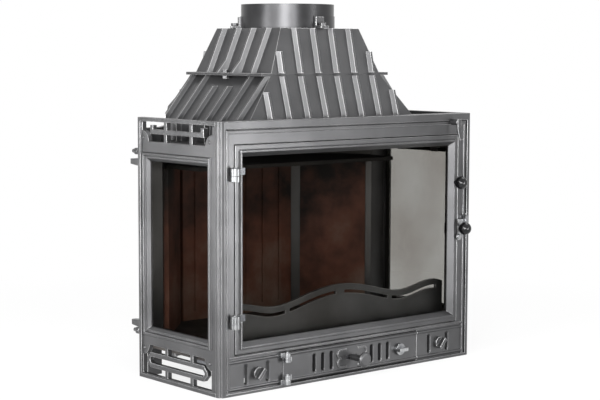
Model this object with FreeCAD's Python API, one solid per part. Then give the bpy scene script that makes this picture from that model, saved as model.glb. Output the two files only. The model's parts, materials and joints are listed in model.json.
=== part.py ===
"""Three-sided cast-iron fireplace insert, built as separate castings and fittings.

Millimetres. X runs across the front, +Y from the front rim to the rear wall, +Z up.
Shapes are drawn with Y = 0 at the front rim and saved with Y = 0 on the flue's axis,
so the saved origin is on the floor, below the middle of the flue.
"""
import FreeCAD, Part
import math
import os

# Overall body
WIDTH = 700.0
BODY_HEIGHT = 540.0
SIDE_DEPTH = 277.0
REAR_Y = 410.0
REAR_SHOULDER = 36.0
FLUE_Y = 217.5

# Clearances
FIT = 0.3
SHAFT_FIT = 0.1
DOOR_GAP = 2.0

# Front frame casting
FIELD_Y = 5.0
FIELD_BACK = 15.0
WALL_BACK = 31.0
RIM = 15.0
RIM_BOTTOM = 6.0
RIM_ROUND = 12.0
RIM_FLUTE = 1.8
BEAD = 6.0
BEAD_Y = 2.0
GROOVE = 3.0
TOP_WALL = 6.0
SURROUND_WALL = 8.0
SURROUND_BOTTOM_WALL = 4.5
LIP = 12.0
LIP_Y = 21.0

# Main door
SIDE_RAIL = 41.0
TOP_RAIL = 47.0
DOOR_Z0 = 81.0
DOOR_FLAT_Y = 4.0
DOOR_BACK = 19.0
RIDGE_INSET = 9.0
RIDGE = 5.0
RIDGE_Y = -1.0
RIDGE_TAPER = 1.5
STILE = 23.0
BEVEL_Y = 11.0
GLASS = 4.0
TAPE = 2.0
GLASS_LAP = 8.0
CLIP = 1.5
ROPE_INSET = 1.0
ROPE_WIDTH = 5.5
ROPE_DEPTH = 1.7
CLIP_HALF = 12.0
SIDE_CLIP = 3.0
SIDE_CLIP_HALF = 11.0
SIDE_CLIP_FOOT = 12.0

# Main door hinges
HINGE_OUT = 9.0
HINGE_Y = -7.0
KNUCKLE_R = 10.5
PIN_R = 3.2
HINGE_SPLITS = (435.0, 146.3)
DOOR_KNUCKLE = 14.0
FRAME_KNUCKLE = 11.0
STRAP_REACH = 30.0
STRAP = 5.0
BRACKET_REACH = 7.5

# Door knob and latch
KNOB_Z = 389.5
BALL_R = 14.0
STEM_R = 4.5
KNOB_REACH = 19.0
LATCH_INSET = 5.0
LATCH_Z = 270.0
LATCH_BAR_TOP = 38.0
LATCH_BAR = 10.0
LATCH_THICK = 5.0
LATCH_FRONT = -9.0
LATCH_NOSE = 8.0
LATCH_BALL_Z = 19.0
LATCH_BALL_Y = -26.0
LATCH_PIVOT_R = 4.0
LATCH_PIVOT_SEAT = 6.0
LATCH_PIVOT_HEAD = 3.0
KEEPER_GAP = 1.5
KEEPER_LIP = 4.0
KEEPER_WIDTH = 7.0
KEEPER_RISE = 8.0

# Lower front panel: ash door, air slots and turning air valves
ASH_HALF = 187.0
ASH_Z0 = 8.5
ASH_Z1 = 70.5
ASH_THICK = 8.0
ASH_HINGE_Y = -6.0
ASH_HINGE_IN = 2.0
ASH_KNUCKLE_R = 7.5
ASH_PIN_R = 2.5
ASH_SPLITS = (62.0, 16.0)
ASH_KNUCKLE = 9.5
ASH_LUG = 10.0
ASH_LEAF = 12.0
AIR_SLOT_XS = (56.5, 80.0, 103.5)
AIR_SLOT_W = 8.0
AIR_SLOT_H = 37.0
SLOT_FLARE = 1.6
BRACE_X = 40.0
BRACE_LOBE = 9.0
BRACE_TAIL = 6.0
BRACE_RIDGE = 3.5
BRACE_HEIGHT = 2.5
PANEL_MID_Z = 38.5
SLIDE_TRAVEL = 11.5
SLIDE_PLATE = 2.5
SLIDE_HALF = 114.0
GUIDE = 4.0
SLIDE_KNOB_R = 16.0
SLIDE_KNOB_FRONT = -40.0
CAM_X = 135.0
CAM_REACH = 23.0
CAM_SHAFT_R = 4.0
CAM_THICK = 4.0
CAM_HALF = 6.0
TONGUE_HALF = 9.0
TONGUE_LAP = 8.0
TONGUE_FOOT = 3.0
TONGUE_LENGTH = 22.0
VALVE_X = 254.5
VALVE_SLOT_OFF = 27.5
VALVE_SLOT_W = 8.0
VALVE_SLOT_H = 40.0
VALVE_R = 35.5
VALVE_SPREAD = 41.0
VALVE_PLATE = 2.0
VALVE_SHAFT_R = 4.0
VALVE_KNOB_R = 12.5
VALVE_HUB = 6.0
DISC_Y = -3.0
GRIP_Y = -13.5
GRIP_HALF = 3.5
GRIP_TURN = 40.0

# Glass-air lever, shutter and plate in the top rail
LEVER_INSET = 20.0
LEVER_DROP = 18.0
LEVER_SHAFT_R = 4.0
LEVER_FRONT = -20.0
BLADE_HALF = 5.5
BLADE_THICK = 4.0
BLADE_TOP = 7.0
BLADE_BEND = 14.0
BLADE_LENGTH = 38.0
BLADE_KICK = 7.0
CRANK_R = 13.0
YOKE_PIN_R = 2.5
YOKE_FIT = 1.0
FORK = 4.0
FORK_PRONG = 5.0
FORK_RISE = 8.0
SHUTTER = 3.0
SHUTTER_INSET = 4.0
AIR_PLATE = 3.0
AIR_PLATE_INSET = 1.5
WASH_PITCH = 22.0
WASH_COUNT = 24
WASH_W = 6.0
WASH_H = 20.0
WASH_DROP = 4.0

# Side panels
PANEL_FACE = 4.0
PANEL_THICK = 14.0
PANEL_MARGIN_FRONT = 18.0
PANEL_MARGIN_REAR = 12.0
PANEL_MARGIN_TOP = 71.0
PANEL_RIDGE_Z0 = 90.0
PANEL_STILE = 18.0
PANEL_RIDGE = 6.0
PANEL_STEP = 4.5
PANEL_STEP_DEPTH = 4.5
EDGE_STRIP = 8.0
UPPER_VENT_FRONT = 14.0
UPPER_VENT_REAR = 11.0
UPPER_VENT_TOP = 8.0
UPPER_VENT_HEIGHT = 41.0
LOWER_VENT_FRONT = 18.0
LOWER_VENT_REAR = 9.0
LOWER_VENT_Z0 = 9.0
LOWER_VENT_HEIGHT = 62.0
VENT_ROUND = 22.0
VENT_BAR = 9.0
VENT_POST_SPAN = 86.5
VENT_POST_FRONT = 84.0
VENT_BAR_GAP = 6.0
VENT_RING_GAP = 14.0
VENT_RING_DROP = 15.0
REAR_LUG_TOP = 92.5
REAR_LUG_BOTTOM = 111.0
REAR_LUG = 30.0
REAR_LUG_HALF = 8.0
REAR_LUG_TIP = 5.5
REAR_LUG_TAPER = 2.0
REAR_BOLT_TOP = 71.0
REAR_BOLT_BOTTOM = 94.5
REAR_BOLT = 26.0

# Rear shell, hearth, deck and linings
SHELL = 10.0
SHELL_RIB = 8.0
SHELL_RIB_PITCH = 50.0
SHELL_RIB_END = 20.0
SHELL_FOOT = 4.0
SHELL_LEG = 24.0
HEARTH_Z0 = 62.0
HEARTH = 16.0
DECK_DROP = 63.0
DECK = 8.0
DECK_UPSTAND = 33.0
LINER = 10.0
LINER_GAP = 8.0
LINER_RIB = 4.0
LINER_RIB_PITCH = 48.0
LINER_RIB_END = 20.0
LINER_DROP = 47.0
BAFFLE = 8.0
BAFFLE_FRONT = 170.0
GRATE_HALF = 150.0
GRATE_Y0 = 110.0
GRATE_Y1 = 290.0
GRATE_LEDGE = 9.0
GRATE_THICK = 11.0
GRATE_SLOTS = 13
GRATE_PLAY = 1.0
GRATE_PROUD = 2.0
GRATE_SIDE = 22.0
GRATE_END = 18.0
GRATE_SLOT_HALF = 5.0
GRATE_BAR_HALF = 5.0
GUARD_Y = 43.0
GUARD_THICK = 6.0
GUARD_CREST = 110.0
GUARD_WAVE = ((210.0, 14.0), (115.0, 29.0), (20.0, 16.0), (0.0, 22.0))
GUARD_SLOT_DROP = 13.0
GUARD_SLOT = 7.0
GUARD_SLOT_END = 20.0
GUARD_BRIDGE = 12.0
GUARD_SLOT_LENGTH = 126.0
GUARD_FOOT = 8.0
GUARD_FOOT_REACH = 39.0
GUARD_FOOT_X = 220.0
GUARD_END = 31.0
BOX_HALF = 194.0
BOX_BACK = 300.0
BOX_SHEET = 3.0
PAN_SHEET = 2.0
PAN_HALF = 165.0
PAN_HEIGHT = 38.0
PAN_SETBACK = 30.0
PAN_REAR_GAP = 20.0
PAN_GRIP_HALF = 35.0
PAN_GRIP_REACH = 14.0
PAN_GRIP_BAR = 6.0
PAN_GRIP_Z = 22.0
PAN_GRIP_HEIGHT = 8.0

# Smoke hood and flue collar
SKIRT_DROP = 10.0
LOWER_HOOD_RISE = 97.0
UPPER_HOOD_RISE = 96.0
JOINT_HALF_X = 151.0
JOINT_HALF_Y = 129.0
TOP_HALF_X = 108.5
TOP_HALF_Y = 108.0
SKIRT_HALF_X = 232.0
SKIRT_FRONT = 60.5
HOOD_WALL = 8.0
HOOD_FLANGE = 25.0
FLANGE_THICK = 3.0
BOLT_POCKET = 22.0
RIB_PITCH = 50.0
RIB_BASE = 10.0
RIB_CREST = 5.0
RIB_HEIGHT = 12.0
GUSSET = 6.0
GUSSET_RISE = 60.0
GUSSET_EDGE = 3.0
COLLAR_R = 100.0
COLLAR_WALL = 6.0
COLLAR_HEIGHT = 51.0
SPIGOT = 25.0
COLLAR_STEP = 1.5
CLAMP_ANGLES = (-90.0, 30.0, 150.0)
CLAMP_W = 22.0
CLAMP = 5.0
BOLT_R = 4.0
HEX_R = 7.5
HEX_H = 6.0

X_AXIS = FreeCAD.Vector(1, 0, 0)
Y_AXIS = FreeCAD.Vector(0, 1, 0)
Z_AXIS = FreeCAD.Vector(0, 0, 1)

HALF = WIDTH / 2
PANEL_OUT = HALF - PANEL_FACE
PANEL_IN = HALF - PANEL_THICK
REAR_FLAT_HALF = PANEL_IN - REAR_SHOULDER - (REAR_Y - SIDE_DEPTH)
DOOR_HALF = HALF - SIDE_RAIL
DOOR_Z1 = BODY_HEIGHT - TOP_RAIL
HINGE_X = -DOOR_HALF - HINGE_OUT
KNOB_X = DOOR_HALF - RIDGE_INSET - RIDGE / 2
LATCH_X = DOOR_HALF - LATCH_INSET
ASH_HINGE_X = -ASH_HALF + ASH_HINGE_IN
FRAME_OPEN = DOOR_HALF + DOOR_GAP
AIR_PLATE_HALF = FRAME_OPEN - AIR_PLATE_INSET
SHUTTER_HALF = AIR_PLATE_HALF - SHUTTER_INSET
LEVER_X = SHUTTER_HALF - LEVER_INSET
LEVER_Z = BODY_HEIGHT - LEVER_DROP
PANEL_RIDGE_Y0 = FIELD_BACK + PANEL_MARGIN_FRONT
PANEL_RIDGE_Y1 = SIDE_DEPTH - PANEL_MARGIN_REAR
PANEL_RIDGE_Z1 = BODY_HEIGHT - PANEL_MARGIN_TOP
UPPER_VENT_Z1 = BODY_HEIGHT - UPPER_VENT_TOP
UPPER_VENT = (FIELD_BACK + UPPER_VENT_FRONT, SIDE_DEPTH - UPPER_VENT_REAR,
              UPPER_VENT_Z1 - UPPER_VENT_HEIGHT, UPPER_VENT_Z1)
LOWER_VENT = (FIELD_BACK + LOWER_VENT_FRONT, SIDE_DEPTH - LOWER_VENT_REAR,
              LOWER_VENT_Z0, LOWER_VENT_Z0 + LOWER_VENT_HEIGHT)
VENT_POST_YS = (FIELD_BACK + VENT_POST_FRONT, FIELD_BACK + VENT_POST_FRONT + VENT_POST_SPAN)
REAR_LUG_ZS = (BODY_HEIGHT - REAR_LUG_TOP, REAR_LUG_BOTTOM)
REAR_BOLT_ZS = (BODY_HEIGHT - REAR_BOLT_TOP, REAR_BOLT_BOTTOM)
HEARTH_Z1 = HEARTH_Z0 + HEARTH
DECK_Z0 = BODY_HEIGHT - DECK_DROP
DECK_Z1 = DECK_Z0 + DECK
LINER_TOP = DECK_Z0 - LINER_DROP
GUARD_HALF = PANEL_IN - GUARD_END
SKIRT_TOP = BODY_HEIGHT - SKIRT_DROP
SKIRT_HALF_Y = FLUE_Y - SKIRT_FRONT
JOINT_Z = SKIRT_TOP + LOWER_HOOD_RISE
HOOD_TOP = JOINT_Z + UPPER_HOOD_RISE
COLLAR_TOP = HOOD_TOP + COLLAR_HEIGHT
FRAME_Z0 = DOOR_Z0 - DOOR_GAP
FRAME_Z1 = DOOR_Z1 + DOOR_GAP
ASH_OPEN = ASH_HALF + DOOR_GAP
ASH_OPEN_Z0 = ASH_Z0 - DOOR_GAP
ASH_OPEN_Z1 = ASH_Z1 + DOOR_GAP
ASH_BACK = FIELD_Y + ASH_THICK
ASH_BEAD_ZS = (ASH_Z0 + BEAD / 2 + 1, ASH_Z1 - BEAD / 2 - 1)


def vec(x, y, z):
    return FreeCAD.Vector(x, y, z)


def box(x0, x1, y0, y1, z0, z1):
    return Part.makeBox(x1 - x0, y1 - y0, z1 - z0, vec(x0, y0, z0))


def rod(x, y, z, axis, radius, length):
    return Part.makeCylinder(radius, length, vec(x, y, z), axis)


def hexagon(x, y, z, axis, radius, length):
    """A hexagonal prism with its first corner on the frame's own side direction."""
    side = X_AXIS if abs(axis.x) < 0.5 else Y_AXIS
    other = axis.cross(side)
    points = []
    for corner in range(7):
        turn = math.radians(60 * corner)
        points.append(vec(x, y, z) + side * (radius * math.cos(turn)) + other * (radius * math.sin(turn)))
    return Part.Face(Part.makePolygon(points)).extrude(axis * length)


def prism(points, offset):
    """A polygon of vectors pushed along a vector."""
    return Part.Face(Part.makePolygon(points + points[:1])).extrude(offset)


def plan_prism(points, z0, z1):
    return prism([vec(x, y, z0) for x, y in points], vec(0, 0, z1 - z0))


def fuse(shapes):
    whole = shapes[0].multiFuse(shapes[1:]) if len(shapes) > 1 else shapes[0]
    return whole.removeSplitter()


def cut(shape, tools):
    return shape.cut(Part.makeCompound(tools)).removeSplitter()


def mirror(shape):
    return shape.mirror(vec(0, 0, 0), X_AXIS)


def slot_wire(x, z, width, height, y):
    """Outline of a slot with round ends, long way up, at one depth."""
    r = width / 2
    top = z + height / 2
    low = z - height / 2
    right = Part.makeLine(vec(x + r, y, low + r), vec(x + r, y, top - r))
    over = Part.Arc(vec(x + r, y, top - r), vec(x, y, top), vec(x - r, y, top - r)).toShape()
    left = Part.makeLine(vec(x - r, y, top - r), vec(x - r, y, low + r))
    under = Part.Arc(vec(x - r, y, low + r), vec(x, y, low), vec(x + r, y, low + r)).toShape()
    return Part.Wire([right, over, left, under])


def upright_slot(x, z, width, height, y0, y1):
    return Part.Face(slot_wire(x, z, width, height, y0)).extrude(vec(0, y1 - y0, 0))


def flared_slot(x, z, width, height, y0, y1):
    """Cast air slot: its edge slopes in from the front face."""
    grow = 2 * SLOT_FLARE
    mouth = Part.makeLoft([slot_wire(x, z, width + grow, height + grow, y0),
                           slot_wire(x, z, width, height, y0 + SLOT_FLARE)], True, True)
    return mouth.fuse(upright_slot(x, z, width, height, y0 + SLOT_FLARE, y1))


def half_bead(x0, x1, z):
    """Half-round moulding along X on the front field."""
    return rod(x0, FIELD_Y, z, X_AXIS, BEAD / 2, x1 - x0)


def ring_box(x0, x1, y0, y1, z0, z1, wall):
    """A rectangular picture-frame ring that lies in the XZ plane."""
    inner = box(x0 + wall, x1 - wall, y0, y1, z0 + wall, z1 - wall)
    return box(x0, x1, y0, y1, z0, z1).cut(inner)


def rect_wire(a0, a1, b0, b1, place):
    corners = [(a0, b0), (a1, b0), (a1, b1), (a0, b1), (a0, b0)]
    return Part.makePolygon([place(a, b) for a, b in corners])


def frustum(a0, a1, b0, b1, grow, place_first, place_second):
    """A tapered block between a rectangle and the same one grown on every side."""
    start = rect_wire(a0, a1, b0, b1, place_first)
    end = rect_wire(a0 - grow, a1 + grow, b0 - grow, b1 + grow, place_second)
    return Part.makeLoft([start, end], True, True)


def frustum_y(x0, x1, z0, z1, y0, y1, grow):
    """Tapered block along Y: the rectangle at y0, grown on every side at y1."""
    return frustum(x0, x1, z0, z1, grow, lambda a, b: vec(a, y0, b), lambda a, b: vec(a, y1, b))


def frustum_x(y0, y1, z0, z1, x0, x1, grow):
    """Tapered block along X: the rectangle at x0, grown on every side at x1."""
    return frustum(y0, y1, z0, z1, grow, lambda a, b: vec(x0, a, b), lambda a, b: vec(x1, a, b))


def save(name, shape):
    """Write one node, moved so that the flue's axis is the origin."""
    placed = shape.copy()
    placed.translate(vec(0, -FLUE_Y, 0))
    print(name, len(placed.Solids), round(placed.Volume / 1000.0, 1), placed.isValid())
    placed.exportStep("parts/" + name + ".step")


# Plan outlines of the angled rear

def rear_outline(inset, side, front):
    """Plan of the body behind `front`: the rear corners are cut off at 45 degrees."""
    back = REAR_Y - inset
    diagonal = REAR_FLAT_HALF + REAR_Y - inset * math.sqrt(2)
    shoulder = SIDE_DEPTH - inset
    right = [(side, front), (side, shoulder), (diagonal - shoulder, shoulder), (diagonal - back, back)]
    return right + [(-x, y) for x, y in reversed(right)]


# Front frame

def front_frame():
    field = box(-HALF, HALF, FIELD_Y, FIELD_BACK, 0, BODY_HEIGHT)
    rim_outer = box(-HALF, HALF, 0, FIELD_Y, 0, BODY_HEIGHT)
    rim_inner = box(-HALF + RIM, HALF - RIM, 0, FIELD_Y, RIM_BOTTOM, BODY_HEIGHT - RIM)
    bead_half = HALF - RIM - GROOVE
    bead_top = BODY_HEIGHT - RIM - GROOVE
    bead_outer = box(-bead_half, bead_half, BEAD_Y, FIELD_Y, RIM_BOTTOM, bead_top)
    bead_inner = box(-bead_half + BEAD, bead_half - BEAD, BEAD_Y, FIELD_Y, RIM_BOTTOM, bead_top - BEAD)
    rail_z = (ASH_OPEN_Z1 + FRAME_Z0) / 2
    rail = box(-bead_half, bead_half, BEAD_Y, FIELD_Y, rail_z - BEAD / 3, rail_z + BEAD / 3)
    wall_half = PANEL_IN - FIT
    top_wall = box(-wall_half, wall_half, FIELD_BACK, WALL_BACK, BODY_HEIGHT - TOP_WALL, BODY_HEIGHT)
    wall_x = FRAME_OPEN + SURROUND_WALL
    surround = box(-wall_x, wall_x, FIELD_BACK, WALL_BACK,
                   FRAME_Z0 - SURROUND_BOTTOM_WALL, FRAME_Z1 + SURROUND_WALL)
    beads = []
    for z in ASH_BEAD_ZS:
        beads.append(half_bead(-bead_half, -ASH_OPEN - ASH_LUG - FIT, z))
        beads.append(half_bead(ASH_OPEN, bead_half, z))
    rim = rim_outer.cut(rim_inner)
    bead = bead_outer.cut(bead_inner)
    frame = fuse([field, rim, bead, rail, top_wall, surround] + beads)
    lip_x = FRAME_OPEN - LIP
    cuts = [
        box(-FRAME_OPEN, FRAME_OPEN, 0, LIP_Y, FRAME_Z0, FRAME_Z1),
        box(-lip_x, lip_x, LIP_Y, WALL_BACK, FRAME_Z0 + LIP, FRAME_Z1 - LIP),
        box(-ASH_OPEN, ASH_OPEN, 0, FIELD_BACK, ASH_OPEN_Z0, ASH_OPEN_Z1),
        rod(LEVER_X, 0, LEVER_Z, Y_AXIS, LEVER_SHAFT_R + SHAFT_FIT, FIELD_BACK),
    ]
    for side in (-1, 1):
        x = side * VALVE_X
        cuts.append(rod(x, 0, PANEL_MID_Z, Y_AXIS, VALVE_SHAFT_R + SHAFT_FIT, FIELD_BACK))
        for off in (-VALVE_SLOT_OFF, VALVE_SLOT_OFF):
            cuts.append(flared_slot(x + off, PANEL_MID_Z, VALVE_SLOT_W, VALVE_SLOT_H, FIELD_Y, FIELD_BACK))
    for number in range(WASH_COUNT // 2):
        x = (number - WASH_COUNT // 4 + 0.5) * 2 * WASH_PITCH
        cuts.append(box(x - WASH_PITCH * 0.7, x + WASH_PITCH * 0.7, LIP_Y + 1, LIP_Y + 5,
                        FRAME_Z1 - LIP, FRAME_Z1 + SURROUND_WALL))
    frame = cut(frame, cuts)
    corners = []
    for edge in frame.Edges:
        middle = edge.CenterOfMass
        if abs(abs(middle.x) - HALF) < 0.01 and abs(middle.y) < 0.01 and edge.Length > BODY_HEIGHT - 1:
            corners.append(edge)
    frame = frame.makeFillet(RIM_ROUND, corners)
    centre = HALF - RIM_ROUND
    reach = RIM_ROUND / math.sqrt(2)
    flutes = []
    for side in (-1, 1):
        x = side * (centre + reach)
        flutes.append(rod(x, RIM_ROUND - reach, 0, Z_AXIS, RIM_FLUTE, BODY_HEIGHT))
    return cut(frame, flutes)


# Main door

def door_frame():
    x, z0, z1 = DOOR_HALF, DOOR_Z0, DOOR_Z1
    plate = box(-x, x, DOOR_FLAT_Y, DOOR_BACK, z0, z1)
    crest = RIDGE_INSET + RIDGE_TAPER
    ridge = frustum_y(-x + crest, x - crest, z0 + crest, z1 - crest, RIDGE_Y, DOOR_FLAT_Y, RIDGE_TAPER)
    inset = RIDGE_INSET + RIDGE
    opening = STILE
    hollow = frustum_y(-x + opening, x - opening, z0 + opening, z1 - opening,
                       BEVEL_Y, RIDGE_Y, opening - inset)
    through = box(-x + opening, x - opening, BEVEL_Y, DOOR_BACK, z0 + opening, z1 - opening)
    rebate = STILE - GLASS_LAP
    seat = box(-x + rebate, x - rebate, DOOR_BACK - GLASS - TAPE, DOOR_BACK, z0 + rebate, z1 - rebate)
    frame = fuse([plate, ridge])
    return cut(frame, [hollow, through, seat, hinge_straps(), latch_seat()])


def latch_seat():
    return rod(LATCH_X, DOOR_FLAT_Y, LATCH_Z, Y_AXIS, LATCH_PIVOT_R, LATCH_PIVOT_SEAT)


def door_glass():
    inset = STILE - GLASS_LAP + FIT
    half = DOOR_HALF - inset
    return box(-half, half, DOOR_BACK - GLASS, DOOR_BACK, DOOR_Z0 + inset, DOOR_Z1 - inset)


def door_glass_seal():
    inset = STILE - GLASS_LAP + FIT
    front = DOOR_BACK - GLASS - TAPE
    return ring_box(-DOOR_HALF + inset, DOOR_HALF - inset, front, front + TAPE,
                    DOOR_Z0 + inset, DOOR_Z1 - inset, GLASS_LAP - 1)


def door_rope_seal():
    inset = ROPE_INSET
    return ring_box(-DOOR_HALF + inset, DOOR_HALF - inset, DOOR_BACK, DOOR_BACK + ROPE_DEPTH,
                    DOOR_Z0 + inset, DOOR_Z1 - inset, ROPE_WIDTH)


def door_glass_clips():
    """Flat clips, screwed to the door's back, that hold the pane in its rebate."""
    outer = ROPE_INSET + ROPE_WIDTH + FIT
    inner = STILE - 1
    half_width = CLIP_HALF
    clips = []
    for x in (-DOOR_HALF / 2, DOOR_HALF / 2):
        for low, high in ((DOOR_Z0 + outer, DOOR_Z0 + inner), (DOOR_Z1 - inner, DOOR_Z1 - outer)):
            clips.append(box(x - half_width, x + half_width, DOOR_BACK, DOOR_BACK + CLIP, low, high))
    middle = (DOOR_Z0 + DOOR_Z1) / 2
    for low, high in ((-DOOR_HALF + outer, -DOOR_HALF + inner), (DOOR_HALF - inner, DOOR_HALF - outer)):
        clips.append(box(low, high, DOOR_BACK, DOOR_BACK + CLIP, middle - half_width, middle + half_width))
    return Part.makeCompound(clips)


def knuckle(x, y, z, radius, height, bore):
    return rod(x, y, z, Z_AXIS, radius, height).cut(rod(x, y, z, Z_AXIS, bore, height))


def hinge_straps():
    """Door halves of the hinges: a knuckle and a strap let into the door's face."""
    straps = []
    for split in HINGE_SPLITS:
        z = split + FIT
        leaf = box(HINGE_X, HINGE_X + STRAP_REACH, DOOR_FLAT_Y - STRAP, DOOR_FLAT_Y, z, z + DOOR_KNUCKLE)
        body = rod(HINGE_X, HINGE_Y, z, Z_AXIS, KNUCKLE_R, DOOR_KNUCKLE).fuse(leaf)
        straps.append(body.cut(rod(HINGE_X, HINGE_Y, z, Z_AXIS, PIN_R + SHAFT_FIT, DOOR_KNUCKLE)))
    return Part.makeCompound(straps)


def door_hinge_brackets():
    brackets = []
    for split in HINGE_SPLITS:
        z = split - FRAME_KNUCKLE
        foot = box(HINGE_X - BRACKET_REACH, -FRAME_OPEN, HINGE_Y, FIELD_Y, z, split)
        body = rod(HINGE_X, HINGE_Y, z, Z_AXIS, KNUCKLE_R, FRAME_KNUCKLE).fuse(foot)
        brackets.append(body.cut(rod(HINGE_X, HINGE_Y, z, Z_AXIS, PIN_R, FRAME_KNUCKLE)))
    return Part.makeCompound(brackets)


def door_hinge_pins():
    pins = []
    for split in HINGE_SPLITS:
        z = split - FRAME_KNUCKLE
        top = split + FIT + DOOR_KNUCKLE + FIT
        shank = rod(HINGE_X, HINGE_Y, z, Z_AXIS, PIN_R, top - z)
        head = Part.makeCone(PIN_R * 1.6, PIN_R * 0.8, PIN_R, vec(HINGE_X, HINGE_Y, top), Z_AXIS)
        pins.append(fuse([shank, head]))
    return Part.makeCompound(pins)


def door_knob():
    ball = Part.makeSphere(BALL_R, vec(KNOB_X, -KNOB_REACH, KNOB_Z))
    stem = rod(KNOB_X, -KNOB_REACH, KNOB_Z, Y_AXIS, STEM_R, KNOB_REACH + RIDGE_Y)
    return fuse([ball, stem])


def latch_pivot():
    """Shouldered stud in the door that the latch bar turns on."""
    start = LATCH_FRONT - LATCH_PIVOT_HEAD
    shank = rod(LATCH_X, start, LATCH_Z, Y_AXIS, LATCH_PIVOT_R, DOOR_FLAT_Y - start + LATCH_PIVOT_SEAT)
    spacer_y = LATCH_FRONT + LATCH_THICK + FIT
    spacer = rod(LATCH_X, spacer_y, LATCH_Z, Y_AXIS, LATCH_PIVOT_R + 1.0, DOOR_FLAT_Y - spacer_y)
    head = rod(LATCH_X, start, LATCH_Z, Y_AXIS, LATCH_PIVOT_R + 1.5, LATCH_PIVOT_HEAD - FIT)
    return fuse([shank, spacer, head])


def latch_lever():
    back = LATCH_FRONT + LATCH_THICK
    half = LATCH_BAR / 2
    bar = box(LATCH_X - half, LATCH_X + half, LATCH_FRONT, back, LATCH_Z, LATCH_Z + LATCH_BAR_TOP)
    foot = rod(LATCH_X, LATCH_FRONT, LATCH_Z, Y_AXIS, LATCH_PIVOT_R + 4, LATCH_THICK)
    top = LATCH_Z + LATCH_BAR_TOP
    nose = box(LATCH_X, LATCH_X + half + LATCH_NOSE, LATCH_FRONT, back, top - LATCH_BAR, top)
    stem = rod(LATCH_X, LATCH_BALL_Y + BALL_R / 2, LATCH_Z + LATCH_BALL_Z, Y_AXIS, STEM_R,
               LATCH_FRONT - LATCH_BALL_Y - BALL_R / 2)
    lever = fuse([bar, foot, nose, stem])
    bore = rod(LATCH_X, LATCH_FRONT, LATCH_Z, Y_AXIS, LATCH_PIVOT_R + SHAFT_FIT, LATCH_THICK)
    return cut(lever, [bore, latch_ball()])


def latch_ball():
    ball = Part.makeSphere(BALL_R, vec(LATCH_X, LATCH_BALL_Y, LATCH_Z + LATCH_BALL_Z))
    socket = rod(LATCH_X, LATCH_BALL_Y + BALL_R / 2, LATCH_Z + LATCH_BALL_Z, Y_AXIS, STEM_R, BALL_R)
    return ball.cut(socket)


def door_keeper():
    """Hook on the frame that the latch nose swings behind."""
    left = LATCH_X + LATCH_BAR / 2 + LATCH_NOSE + KEEPER_GAP
    right = left + KEEPER_WIDTH
    top = LATCH_Z + LATCH_BAR_TOP + KEEPER_RISE
    front = LATCH_FRONT - 4 * FIT
    post = box(left, right, front, FIELD_Y, LATCH_Z + LATCH_BAR_TOP + 2 * FIT, top)
    lip = box(left, right, front - KEEPER_LIP, front, LATCH_Z + LATCH_BAR_TOP / 2, top)
    return fuse([post, lip])


# Ash door with its primary-air slide and turning latch

def ash_door_panel():
    panel = box(-ASH_HALF, ASH_HALF, FIELD_Y, ASH_BACK, ASH_Z0, ASH_Z1)
    beads = [half_bead(-ASH_HALF, ASH_HALF, z) for z in ASH_BEAD_ZS]
    panel = fuse([panel, brace(-1), brace(1)] + beads)
    run = SLIDE_TRAVEL + STEM_R + FIT
    cuts = [box(-run, run, BEAD_Y, ASH_BACK, PANEL_MID_Z - STEM_R - FIT, PANEL_MID_Z + STEM_R + FIT)]
    cuts.append(rod(CAM_X, 0, PANEL_MID_Z, Y_AXIS, CAM_SHAFT_R + SHAFT_FIT, ASH_BACK))
    for side in (-1, 1):
        for x in AIR_SLOT_XS:
            cuts.append(flared_slot(side * x, PANEL_MID_Z, AIR_SLOT_W, AIR_SLOT_H, FIELD_Y, ASH_BACK))
    cuts.append(ash_hinge_leaves())
    return cut(panel, cuts)


def brace(side):
    """Raised curly-bracket moulding beside the slide knob."""
    outer = BRACE_X
    lobe = BRACE_LOBE
    ridge = BRACE_RIDGE
    height = BRACE_HEIGHT
    y0 = FIELD_Y - height
    parts = []
    for up in (-1, 1):
        centre_z = PANEL_MID_Z + up * lobe
        ring = rod(side * (outer - lobe), y0, centre_z, Y_AXIS, lobe + ridge / 2, height)
        ring = ring.cut(rod(side * (outer - lobe), y0, centre_z, Y_AXIS, lobe - ridge / 2, height))
        edges = sorted((side * (outer - lobe), side * (outer + ridge)))
        parts.append(ring.common(box(edges[0], edges[1], y0, FIELD_Y, ASH_Z0, ASH_Z1)))
        edges = sorted((side * (outer - 2 * lobe - BRACE_TAIL), side * (outer - lobe)))
        z = PANEL_MID_Z + up * 2 * lobe
        parts.append(box(edges[0], edges[1], y0, FIELD_Y, z - ridge / 2, z + ridge / 2))
    return fuse(parts)


def ash_knuckles():
    """Height of each hinge's door knuckle and frame knuckle: the frame's are the outer pair."""
    upper, lower = ASH_SPLITS
    return ((upper - ASH_KNUCKLE, upper + FIT), (lower + FIT, lower - ASH_KNUCKLE))


def ash_hinge_leaves():
    leaves = []
    for z, _ in ash_knuckles():
        leaf = box(ASH_HINGE_X, ASH_HINGE_X + ASH_LEAF, ASH_HINGE_Y, FIELD_Y, z, z + ASH_KNUCKLE)
        body = rod(ASH_HINGE_X, ASH_HINGE_Y, z, Z_AXIS, ASH_KNUCKLE_R, ASH_KNUCKLE).fuse(leaf)
        leaves.append(body.cut(rod(ASH_HINGE_X, ASH_HINGE_Y, z, Z_AXIS, ASH_PIN_R + SHAFT_FIT, ASH_KNUCKLE)))
    return Part.makeCompound(leaves)


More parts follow.
